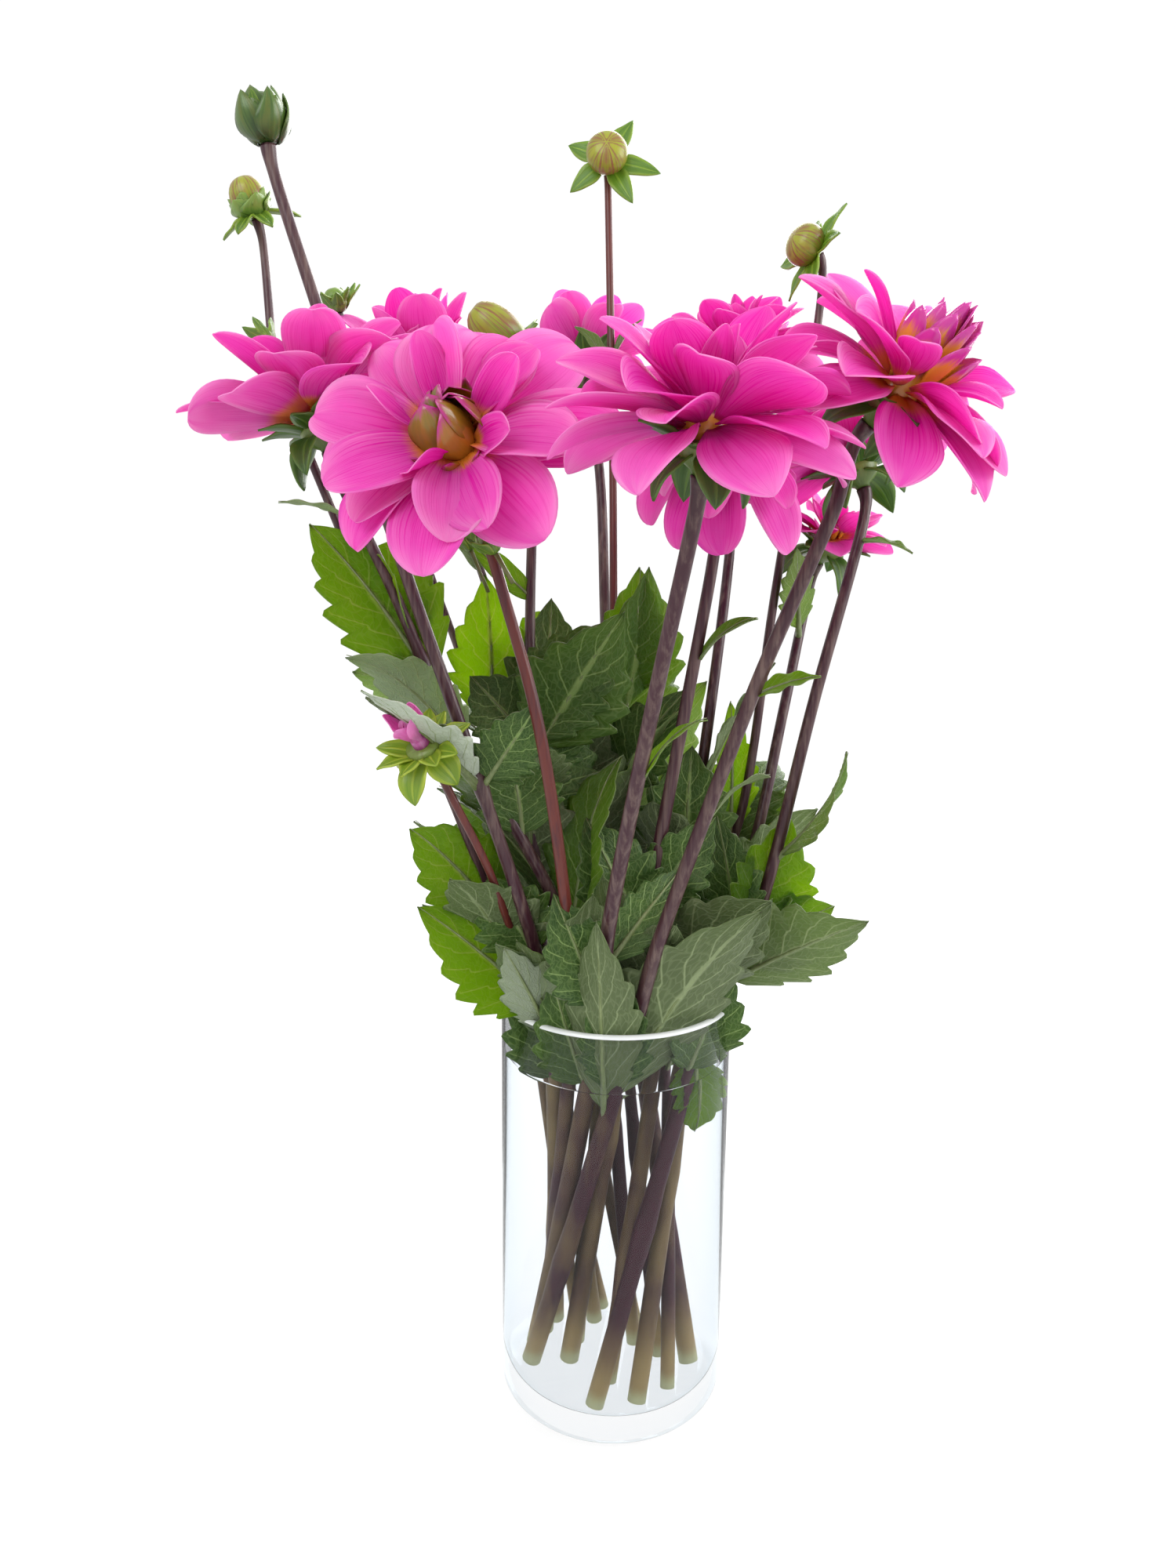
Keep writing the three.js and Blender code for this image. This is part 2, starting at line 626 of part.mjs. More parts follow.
// A leaf grows from a stem's node to its tip along an arc that is as bent as it says.
function leafBlade(node, inset, { tip, width, roll, bend }, swing = 0, lift = 0, scale = 1) {
  const chord = place(...tip).sub(node.middle);
  chord.applyAxisAngle(UP, swing);
  const across = new THREE.Vector3().crossVectors(chord, UP).normalize();
  chord.applyAxisAngle(across, lift);
  const length = chord.length() * scale;
  chord.normalize();
  const upright = UP.clone().addScaledVector(chord, -chord.z).normalize();
  const normal = upright.applyAxisAngle(chord, roll);
  const half = bend / 2;
  const along = chord.clone().multiplyScalar(cos(half)).addScaledVector(normal, -sin(half));
  const facing = normal.clone().multiplyScalar(cos(half)).addScaledVector(chord, sin(half));
  const outward = chord.clone().addScaledVector(node.along, -chord.dot(node.along)).normalize();
  return {
    root: node.middle.clone().addScaledVector(outward, node.radius + inset),
    along,
    normal: facing,
    length: (length * half) / sin(half),
    width: width * scale,
    bend,
    fold: LEAF.fold,
    thick: LEAF.thick,
    outline: leafOutline(width),
    teeth: width >= LEAF.plainBelow,
  };
}

// A short ring of stalk round the stem, which holds the two leaves of a pair together.
function collar(node) {
  const radius = node.radius + COLLAR.wall;
  const end = (share) => ({
    ...node,
    radius,
    middle: node.middle.clone().addScaledVector(node.along, share * COLLAR.height),
  });
  return stemSolid([end(-0.5), end(0.5)]);
}

// ---------------------------------------------------------------- fitting pieces clear of each other

const placed = new Map(); // every piece's solids that others keep clear of

function keep(name, solid) {
  placed.set(name, [...(placed.get(name) ?? []), { solid, box: solid.boundingBox() }]);
}

function meets(solid, own) {
  const { min: a, max: b } = solid.boundingBox();
  for (const [name, solids] of placed) {
    if (own.includes(name)) continue;
    for (const other of solids) {
      const { min: c, max: d } = other.box;
      const apart = [0, 1, 2].some((k) => a[k] > d[k] || b[k] < c[k]);
      if (!apart && solid.intersect(other.solid).volume() > 0) return true;
    }
  }
  return false;
}

// Tries the ways a blade may be bent, best first, and gives the first that is clear.
function fitted(variants, own) {
  const spec = variants.find((option) => !meets(blade(option, GAP), own));
  return spec ? blade(spec) : null;
}

function tilted(spec, angle, scale) {
  return {
    ...spec,
    along: spec.along.clone().multiplyScalar(cos(angle)).addScaledVector(spec.normal, sin(angle)),
    normal: spec.normal.clone().multiplyScalar(cos(angle)).addScaledVector(spec.along, -sin(angle)),
    length: spec.length * scale,
  };
}

function petalVariants(spec) {
  const ways = [[0, 1], [0.2, 1], [-0.2, 1], [0.4, 1], [0, 0.85], [0.3, 0.85], [-0.3, 0.85], [0.6, 0.9]];
  const shorter = [[0, 0.7], [0.4, 0.7], [0.8, 0.8], [0, 0.5], [0.5, 0.5]];
  return [...ways, ...shorter].map(([angle, scale]) => tilted(spec, angle, scale));
}

function clearOnes(specs, own) {
  return specs.map((spec) => fitted(petalVariants(spec), [own])).filter(Boolean);
}

function leafVariants(node, inset, leaf) {
  const options = [];
  [1, 0.85, 0.7].forEach((scale) => {
    [0, 0.2, -0.2, 0.4, -0.4, 0.65, -0.65].forEach((swing) => {
      [0, 0.2, -0.2, 0.4].forEach((lift) => options.push({ scale, swing, lift }));
    });
  });
  const effort = ({ scale, swing, lift }) => (1 - scale) * 2.5 + Math.abs(swing) + Math.abs(lift);
  options.sort((a, b) => effort(a) - effort(b));
  return options.map(({ scale, swing, lift }) => leafBlade(node, inset, leaf, swing, lift, scale));
}

// ---------------------------------------------------------------- the object

const group = new THREE.Group();

function show(name, geometry, colour, extra = {}) {
  const look = { color: colour, roughness: 0.6, metalness: 0, ...extra };
  const mesh = new THREE.Mesh(geometry, new THREE.MeshStandardMaterial(look));
  mesh.name = name;
  group.add(mesh);
}

// Puts a finished solid in the place of its first pieces and shows it.
function settle(name, solid, colour) {
  placed.delete(name);
  keep(name, solid);
  show(name, geometryOf(solid), colour);
}

const jarGeometry = jar();
keep("jar", solidOf(jarGeometry));
show("jar", jarGeometry, COLOURS.glass, { roughness: 0.05, transparent: true, opacity: 0.3 });

const lines = {};
const stemParts = {};
for (const [name, stem] of Object.entries(STEMS)) {
  lines[name] = stations(stem);
  stemParts[name] = [stemSolid(lines[name])];
  keep(`stem_${name}`, stemParts[name][0]);
}

// Calyxes and buds come first, because everything else gives way to them.
const heads = Object.entries(STEMS).map(([name, stem]) => {
  const { face, end, bloom, bud } = stem;
  const frame = headFrame(face);
  const origin = place(...end).addScaledVector(frame.axis, GAP);
  const scale = bloom?.layers === "opening" ? OPENING_SCALE : 1;
  const own = bloom ? `calyx_${name}` : `bud_${name}`;
  const core = bloom ? calyxCup(stem, origin, frame, scale) : budBall(origin, frame, bud);
  keep(own, core);
  return { name, own, frame, origin, bloom, bud, scale, core };
});
for (const { own, frame, origin, bloom, bud, scale, core } of heads) {
  const bracts = bloom ? calyxBracts(origin, frame, bloom, scale) : budBracts(origin, frame, bud);
  settle(own, joined([core, ...clearOnes(bracts, own)]), bloom ? COLOURS.calyx : COLOURS.bud);
}

// Then the blooms: all the hubs first.
const blooms = heads.filter(({ bloom }) => bloom).map(({ name, frame, origin, bloom, scale }) => {
  const own = `bloom_${name}`;
  const base = origin.clone().addScaledVector(frame.axis, CALYX.height + GAP);
  const hub = bloomHub(base, frame, bloom.size * scale);
  keep(own, hub);
  return { own, frame, base, bloom, hub };
});
for (const { own, frame, base, bloom, hub } of blooms) {
  const petals = clearOnes(petalBlades(base, frame, bloom), own);
  settle(own, largestBody(joined([hub, ...petals])), COLOURS.petal);
}

// Leaves give way to everything.
LEAF_PAIRS.forEach(({ stem, z, leaves }, i) => {
  const node = nodeAt(lines[stem], z);
  const blades = leaves.map((leaf) => fitted(leafVariants(node, COLLAR.inset, leaf), [])).filter(Boolean);
  const ring = collar(node).subtract(stemSolid(lines[stem], GAP));
  settle(`leaves_${i + 1}_${stem}`, largestBody(joined([ring, ...blades])), COLOURS.leaf);
});

LEAFLETS.forEach((leaflet) => {
  const own = `stem_${leaflet.stem}`;
  const node = nodeAt(lines[leaflet.stem], leaflet.z);
  const solid = fitted(leafVariants(node, LEAFLET_SINK, leaflet), [own]);
  if (!solid) return;
  stemParts[leaflet.stem].push(solid);
  keep(own, solid);
});

for (const name of Object.keys(STEMS)) {
  show(`stem_${name}`, geometryOf(joined(stemParts[name])), COLOURS.stem);
}

// The stems stand in plain holes in the water.
const inWater = Object.values(lines).map((line) => stemSolid(line, GAP));
show("water", geometryOf(water().subtract(joined(inWater))), COLOURS.water, {
  roughness: 0.05,
  transparent: true,
  opacity: 0.35,
});

export default group;
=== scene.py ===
"""Cut dahlias standing in a glass jar of water.

Seventeen stems twist round each other in the jar and open out above its rim. Eleven carry a pink
bloom in a green calyx and six carry a bud, and toothed leaves grow from them in pairs.
"""

from collections.abc import Callable
from dataclasses import dataclass
from math import atan2, cos, exp, floor, pi, radians, sin, sqrt

import bmesh
import bpy
from bpy.props import FloatProperty, FloatVectorProperty, IntProperty, PointerProperty
from mathutils import Matrix, Vector


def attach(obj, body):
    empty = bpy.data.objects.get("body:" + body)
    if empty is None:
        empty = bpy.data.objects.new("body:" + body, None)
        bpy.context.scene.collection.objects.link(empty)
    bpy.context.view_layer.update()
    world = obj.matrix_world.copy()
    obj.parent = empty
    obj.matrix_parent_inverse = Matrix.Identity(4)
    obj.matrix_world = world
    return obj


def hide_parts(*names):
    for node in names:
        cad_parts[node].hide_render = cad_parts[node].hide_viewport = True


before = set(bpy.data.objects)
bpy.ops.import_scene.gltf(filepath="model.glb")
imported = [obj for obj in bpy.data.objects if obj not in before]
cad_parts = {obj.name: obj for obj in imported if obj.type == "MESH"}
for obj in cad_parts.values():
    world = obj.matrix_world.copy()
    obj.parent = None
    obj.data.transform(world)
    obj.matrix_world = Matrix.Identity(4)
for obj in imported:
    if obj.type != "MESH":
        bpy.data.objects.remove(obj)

bl_info = {
    "name": "Dahlias in a jar",
    "version": (1, 0, 0),
    "blender": (4, 5, 0),
    "location": "3D View > Sidebar > Dahlias",
    "description": "Builds a bunch of cut dahlias in a glass jar of water",
    "category": "Add Mesh",
}

MM = 0.001
TURN = 2 * pi
UP = Vector((0, 0, 1))

# ---- the bunch, in millimetres

FOOT_HEIGHT = 13.35  # the stems stand on the jar's floor
FOOT_SPREAD = 0.9  # the feet stand on a circle this much of the one at the rim
RIM_HEIGHT = 222
NECK_SHOWN = 9  # the straight length under a head
TAPER = 0.3
CUP_HEIGHT = 12
GAP = 0.35
SEAT = -0.3  # calyxes, hearts and buds start this far along their axis, in the gap below them
OPENING_SCALE = 0.8  # size of the opening flower's calyx and heart beside the others'
LARGE_LEAF = 15  # a leaf wider than this has teeth and a thick rib
VEINS = 7  # side veins on each half of a leaf
VEIN_SLANT = 0.28  # share of the leaf's length that a side vein climbs on its way to the edge
RIB_THICK = 1.7  # radius that a large leaf's rib starts with, and a small one's
RIB_THIN = 0.8
RIB_TIP = 0.18  # radius that both end with
RIB_SUNK = 0.35  # how far a rib's middle lies below its blade
NODE_SWELL = 0.32  # how much thicker a stem is where its leaves grow
NODE_REACH = 5
NECK_SWELL = 0.35  # the same under its head
NECK_REACH = 6
LOW_SWELL = 0.25  # the same low down
LOW_TOP = RIM_HEIGHT + 60  # where that begins, and the height over which it grows
LOW_REACH = 120
SUNK_NODE = 110  # middle height of the nodes under water, and how far they stray from it
SUNK_SPREAD = 40

# Each stem: radius, where it crosses the rim, points above it, its end and which way its end faces.
STEMS = {
    "front_left": (
        3.4, (-22, -38), [(-24, -55, 271), (-38, -78, 374)],
        (-67, -86, 477), (-0.15, -0.82, 0.55),
    ),
    "left": (3.6, (-12, -20), [(-86, -40, 381), (-106, -44, 430)], (-131, -50, 488), (-0.3, 0.12, 0.95)),
    "back_left": (3, (-10, 14), [(-58, 40, 392), (-78, 50, 450)], (-101, 68, 520), (-0.2, -0.15, 0.97)),
    "back": (4, (8, 45), [(-6, 80, 394), (-10, 100, 484)], (-18, 120, 548), (-0.15, 0.75, 0.65)),
    "front": (4.2, (-9, -43), [(-6, -70, 278), (10, -118, 388)], (23, -148, 470), (0.05, -0.2, 0.98)),
    "middle": (3.6, (26, -2), [(39, 10, 307), (57, 40, 447)], (60, 58, 533), (0, -0.25, 0.97)),
    "right": (
        4, (8, -46), [(18, -62, 271), (54, -90, 391), (80, -104, 462)],
        (91, -108, 494), (0.55, -0.42, 0.72),
    ),
    "back_right": (3.8, (48, -10), [(72, -10, 271), (97, -5, 382)], (118, 8, 480), (-0.3, 0.25, 0.92)),
    "hanging": (4, (6, -24), [(17, -20, 290), (40, -20, 430)], (46, -22, 479), (0.05, -0.35, 0.94)),
    "small": (3.8, (44, 14), [(71, 30, 281), (91, 50, 368)], (110, 72, 446), (0.3, -0.35, 0.88)),
    "opening": (2.6, (-43, -20), [(-60, -52, 296), (-75, -66, 334)], (-84, -71, 353), (-0.35, -0.5, 0.79)),
    "tall_bud": (
        3.6, (-34, -32), [(-65, -55, 341), (-95, -60, 431), (-124, -60, 521)],
        (-150, -60, 608), (-0.12, 0, 0.99),
    ),
    "outer_bud": (2.8, (-47, -4), [(-135, -10, 454), (-165, -5, 533)], (-173, 0, 598), (-0.3, -0.1, 0.95)),
    "inner_bud": (2.6, (-28, 16), [(-83, 35, 391), (-99, 40, 434)], (-149, 60, 571), (-0.2, 0, 0.98)),
    "high_bud": (2.8, (2, 28), [(-2, 40, 343), (-4, 70, 488)], (-9, 90, 655), (-0.05, -0.45, 0.89)),
    "right_bud": (3, (32, 32), [(67, 42, 304), (83, 50, 425)], (97, 41, 597), (-0.6, -0.3, 0.74)),
    "centre_bud": (3.4, (-33, -9), [(-40, -8, 260), (-46, 10, 402)], (-50, 20, 543), (-0.7, -0.1, 0.7)),
}

RED_STEMS = ("front_left", "high_bud", "opening")

# Each bloom: the layers of its petals, its size, the seed of its small differences and its finish.
BLOOMS = {
    "front_left": ("open", 1.1, 11, "warm"),
    "left": ("loose", 1.08, 23, "warm"),
    "back_left": ("loose", 0.98, 37, "deep"),
    "back": ("loose", 0.88, 41, "deep"),
    "front": ("full", 1.08, 53, "deep"),
    "middle": ("full", 0.92, 67, "deep"),
    "right": ("full", 1.02, 71, "warm"),
    "back_right": ("loose", 1.05, 83, "deep"),
    "hanging": ("hanging", 1, 97, "warm"),
    "small": ("few", 0.66, 101, "warm"),
    "opening": ("opening", 0.62, 113, "pale"),
}

# Layers of petals from the outside in: count, pitch above the flower's face, length, width, bend,
# distance from the axis, rise along it and roll.
LAYERS = {
    "open": [
        (8, 0.1, 50, 30, -0.25, 7, 3.5, 0.3),
        (6, 0.42, 42, 27, -0.2, 6, 6, -0.3),
        (5, 0.6, 29, 15, 0.45, 8, 7, 0.6),
    ],
    "full": [
        (8, -0.05, 50, 27, -0.45, 7, 3.5, 0.3),
        (6, 0.4, 46, 27, -0.3, 6, 6, -0.3),
        (4, 0.85, 36, 20, 0.1, 4, 9, 0.3),
        (2, 1.25, 26, 13, 0.2, 2, 11, 0),
    ],
    "loose": [
        (7, 0.15, 48, 28, -0.35, 7, 3.5, 0.3),
        (5, 0.6, 42, 24, -0.1, 5, 7, -0.3),
        (3, 1.1, 30, 17, 0.2, 3, 10, 0),
    ],
    "hanging": [
        (7, -0.65, 48, 25, -0.6, 7, 3.5, 0.3),
        (5, 0.5, 30, 18, -0.4, 5, 7, -0.3),
    ],
    "few": [
        (6, 0.2, 48, 29, -0.3, 7, 3.5, 0.3),
        (4, 0.75, 38, 22, 0.1, 5, 7, -0.3),
    ],
    "opening": [(4, 1.05, 26, 16, 0.3, 3, 6, 0.2)],
}

# What stands in the middle of a flower: the radius and height of its core, and rings of scales or
# florets round it: count, pitch, length, width, bend, distance from the axis and rise.
HEARTS = {
    "egg": (9, 21, [
        (9, 0.55, 17, 6, 0.9, 9, 1),
        (5, 1.2, 26, 19, 1.3, 9, 2),
        (4, 1.35, 26, 16, 1.2, 7, 4),
    ]),
    "florets": (7.5, 11, [
        (9, 1.1, 17, 8.5, 0.75, 7.5, 4),
        (8, 1.3, 19, 8, 0.7, 5.5, 6),
        (5, 1.45, 19, 7, 0.6, 3, 8),
    ]),
    "tall florets": (8, 18, [
        (9, 1.0, 26, 10, 0.5, 8, 6),
        (8, 1.25, 27, 9, 0.45, 5.5, 9),
        (5, 1.45, 27, 8, 0.4, 3, 12),
    ]),
    "closed": (7.5, 13, [(7, 1.35, 21, 11, 1.05, 5.5, 5)]),
}
HEART_KINDS = {
    "front_left": "egg",
    "right": "tall florets",
    "left": "florets",
    "hanging": "florets",
    "small": "florets",
}

ROUND_PETALS = ("open", "loose", "hanging")  # the kinds with rounder petals
OPEN_HEARTS = ("right",)  # only the first inner layer grows here, so that the heart shows
INNER_ROW = 5  # the inner layers are counted from here

# Flowers whose layers differ from those of their kind: the right one's inner petals lie flat, which
# shows its heart, and those of the two to the left stand more upright.
OWN_LAYERS = {
    "left": [
        (7, 0.3, 47, 28, -0.25, 7, 3.5, 0.3),
        (5, 0.65, 42, 25, 0.05, 5, 7, -0.3),
        (3, 1.1, 30, 17, 0.2, 3, 10, 0),
    ],
    "right": [
        (8, -0.05, 50, 27, -0.45, 7, 3.5, 0.3),
        (6, 0.35, 46, 26, -0.35, 6, 6, -0.3),
        (5, 0.7, 36, 17, -0.2, 7, 8, 0.3),
    ],
    "back_left": [
        (7, 0.4, 52, 26, 0.15, 7, 3.5, 0.3),
        (6, 0.8, 50, 24, 0.2, 5, 7, -0.3),
        (4, 1.15, 44, 20, 0.2, 3, 10, 0),
    ],
}

# Finer inner petals that each kind of flower has besides its layers.
INNER_LAYERS = {
    "open": [(5, 0.25, 44, 25, -0.25, 7, 5, 0.2)],
    "full": [
        (7, 0.2, 48, 25, -0.35, 6, 5, 0.2),
        (6, 0.65, 40, 20, -0.1, 5, 8, -0.2),
        (5, 1.1, 27, 14, 0.3, 3, 10, 0.3),
    ],
    "loose": [
        (6, 0.35, 44, 25, -0.2, 6, 5, -0.2),
        (5, 0.85, 34, 18, 0.1, 4, 8, 0.3),
        (5, 1.25, 22, 12, 0.5, 3, 10, 0.2),
    ],
    "hanging": [(6, -0.25, 40, 20, -0.6, 6, 5, 0.2), (4, 1.1, 20, 12, 0.3, 3, 9, 0.2)],
    "few": [(5, 0.5, 42, 22, -0.1, 6, 5, 0.2), (4, 1.15, 26, 14, 0.3, 3, 9, 0.2)],
    "opening": [(4, 1.3, 22, 13, 0.45, 2, 5, 0.3)],
}

SCALES_A_RING = 5  # the green scales that wrap a bud stand in two rings

# Each bud: radius, height, how many bracts, their length, how far they spread, how much of it the
# green scales wrap, seed, finish and which way it faces.
BUDS = {
    "tall_bud": (9.5, 19, 7, 15, 0.5, 1, 131, "dark", (-0.12, -0.1, 0.99)),
    "outer_bud": (9.5, 18, 5, 17, 1.9, 0.55, 139, "blushed", (-0.3, -0.25, 0.92)),
    "inner_bud": (6.5, 12, 9, 14, 1.0, 0.7, 149, "green", (-0.2, -0.3, 0.93)),
    "high_bud": (11.2, 17, 5, 23, 1.55, 0, 151, "blushed", (-0.05, -0.96, 0.28)),
    "right_bud": (10.5, 17, 6, 22, 1.45, 0, 163, "blushed", (-0.85, -0.35, 0.4)),
    "centre_bud": (11.5, 32, 3, 22, 1.5, 0, 173, "blushed", (-0.75, -0.25, 0.61)),
}

# Small buds on side stalks: where the stalk starts and ends, and the bud's radius and height.
SIDE_BUDS = [
    ((-134, -58, 520), (-156, -44, 534), 4, 11),
    ((-48, -84, 432), (-55, -86, 444), 4.2, 11),
    ((-66, 0, 428), (-74, -4, 448), 4.5, 14),
]

# Pairs of leaves: their stem, the height of the node on it, and each leaf's tip, width, roll about
# its own length, bend and how bright it is: 0 in the shade, 1 with the light behind it, and up to 2
# the palest.
LEAF_PAIRS = [
    ("left", 396, [((-142, -18, 462), 40, 4.04, 0.5, 0.9), ((-112, 10, 446), 30, -0.8, -0.4, 0.7)]),
    ("tall_bud", 341, [((-110, -92, 384), 22, 0.2, -0.4, 0.1), ((-38, -84, 378), 24, 2.54, 0.3, 0.1)]),
    ("inner_bud", 350, [((-63, 6, 436), 36, 2.74, 0.2, 1), ((-118, 62, 372), 40, 0.2, -0.6, 0.3)]),
    ("centre_bud", 345, [((-6, -36, 418), 46, 2.24, 0.3, 0.3), ((-33, 34, 424), 38, 0.6, -0.3, 0.2)]),
    ("high_bud", 336, [((20, 24, 440), 48, 2.74, 0.2, 0.5), ((-60, 78, 384), 44, 0.5, -0.6, 0.5)]),
    ("outer_bud", 234, [((-99, -24, 278), 32, 0.9, -0.3, 0.1), ((-104, 16, 312), 36, 0.8, -0.4, 0.3)]),
    ("opening", 232, [((-78, -62, 304), 40, 0.3, -0.3, 0.3), ((-66, 14, 300), 30, 0.4, -0.3, 0.4)]),
    ("front_left", 206, [((-11, -64, 298), 34, 0, -0.2, 0.3), ((-56, -62, 268), 30, 0.3, -0.3, 1.2)]),
    ("hanging", 206, [((76, -62, 292), 46, -0.9, -0.4, 0.15), ((-12, -42, 300), 34, 0, -0.2, 0.4)]),
    ("left", 262, [((-8, -18, 352), 40, 0.2, -0.2, 0.5), ((-92, 26, 330), 38, 0.3, -0.5, 0.1)]),
    ("back_right", 230, [((114, -60, 282), 40, -1.2, -0.2, 0.35), ((96, 34, 296), 40, 0.3, -0.5, 0.5)]),
    ("small", 248, [((106, 38, 316), 50, -0.9, -0.3, 0.3), ((52, 84, 300), 44, 0.2, -0.6, 0.5)]),
    ("back", 258, [((44, 104, 330), 46, -0.2, -0.6, 0.4), ((-50, 96, 314), 46, 0.2, -0.6, 0.3)]),
]

# Leaves and leaflets that grow singly from their stem, in the same way.
LEAFLETS = [
    ("left", 352, (-116, -66, 410), 28, 0.6, -0.3, 1.3),
    ("centre_bud", 318, (-38, -44, 360), 28, 0.1, -0.3, 0.3),
    ("high_bud", 292, (32, 4, 374), 40, 0, -0.3, 0.6),
    ("middle", 276, (8, 24, 348), 34, 0.4, -0.4, 0.3),
    ("middle", 330, (76, -4, 394), 24, 0.2, -0.3, 0.3),
    ("right_bud", 286, (92, 82, 340), 36, 0.2, -0.5, 0.3),
    ("right_bud", 254, (34, 84, 336), 36, 0, -0.4, 0.3),
    ("back_left", 296, (-74, 74, 332), 40, 0.2, -0.6, 0.3),
    ("back_left", 350, (-40, 88, 404), 34, 0, -0.4, 0.3),
    ("back", 336, (28, 132, 390), 38, 0, -0.5, 0.3),
    ("front", 353, (30, -106, 382), 11, 0.3, -0.5, 0.8),
    ("hanging", 398, (62, -28, 420), 11, 0.3, -0.5, 0.5),
    ("right", 388, (80, -94, 396), 13, 0.4, -0.4, 0.8),
    ("right", 330, (66, -58, 352), 12, -0.4, -0.4, 0.3),
    ("back_left", 440, (-92, 42, 470), 12, 0.6, -0.3, 0.3),
    ("left", 460, (-152, -58, 466), 12, 0, -0.5, 1.3),
    ("high_bud", 550, (-24, 78, 572), 9, 0.4, -0.4, 0.5),
    ("high_bud", 556, (10, 84, 576), 9, -0.4, -0.4, 0.5),
    ("small", 405, (94, 30, 454), 18, 0.5, -0.2, 0.75),
    ("back_right", 455, (138, -14, 448), 11, 0, -0.6, 0.6),
    ("outer_bud", 520, (-172, -14, 542), 8, 0, -0.4, 0.5),
]

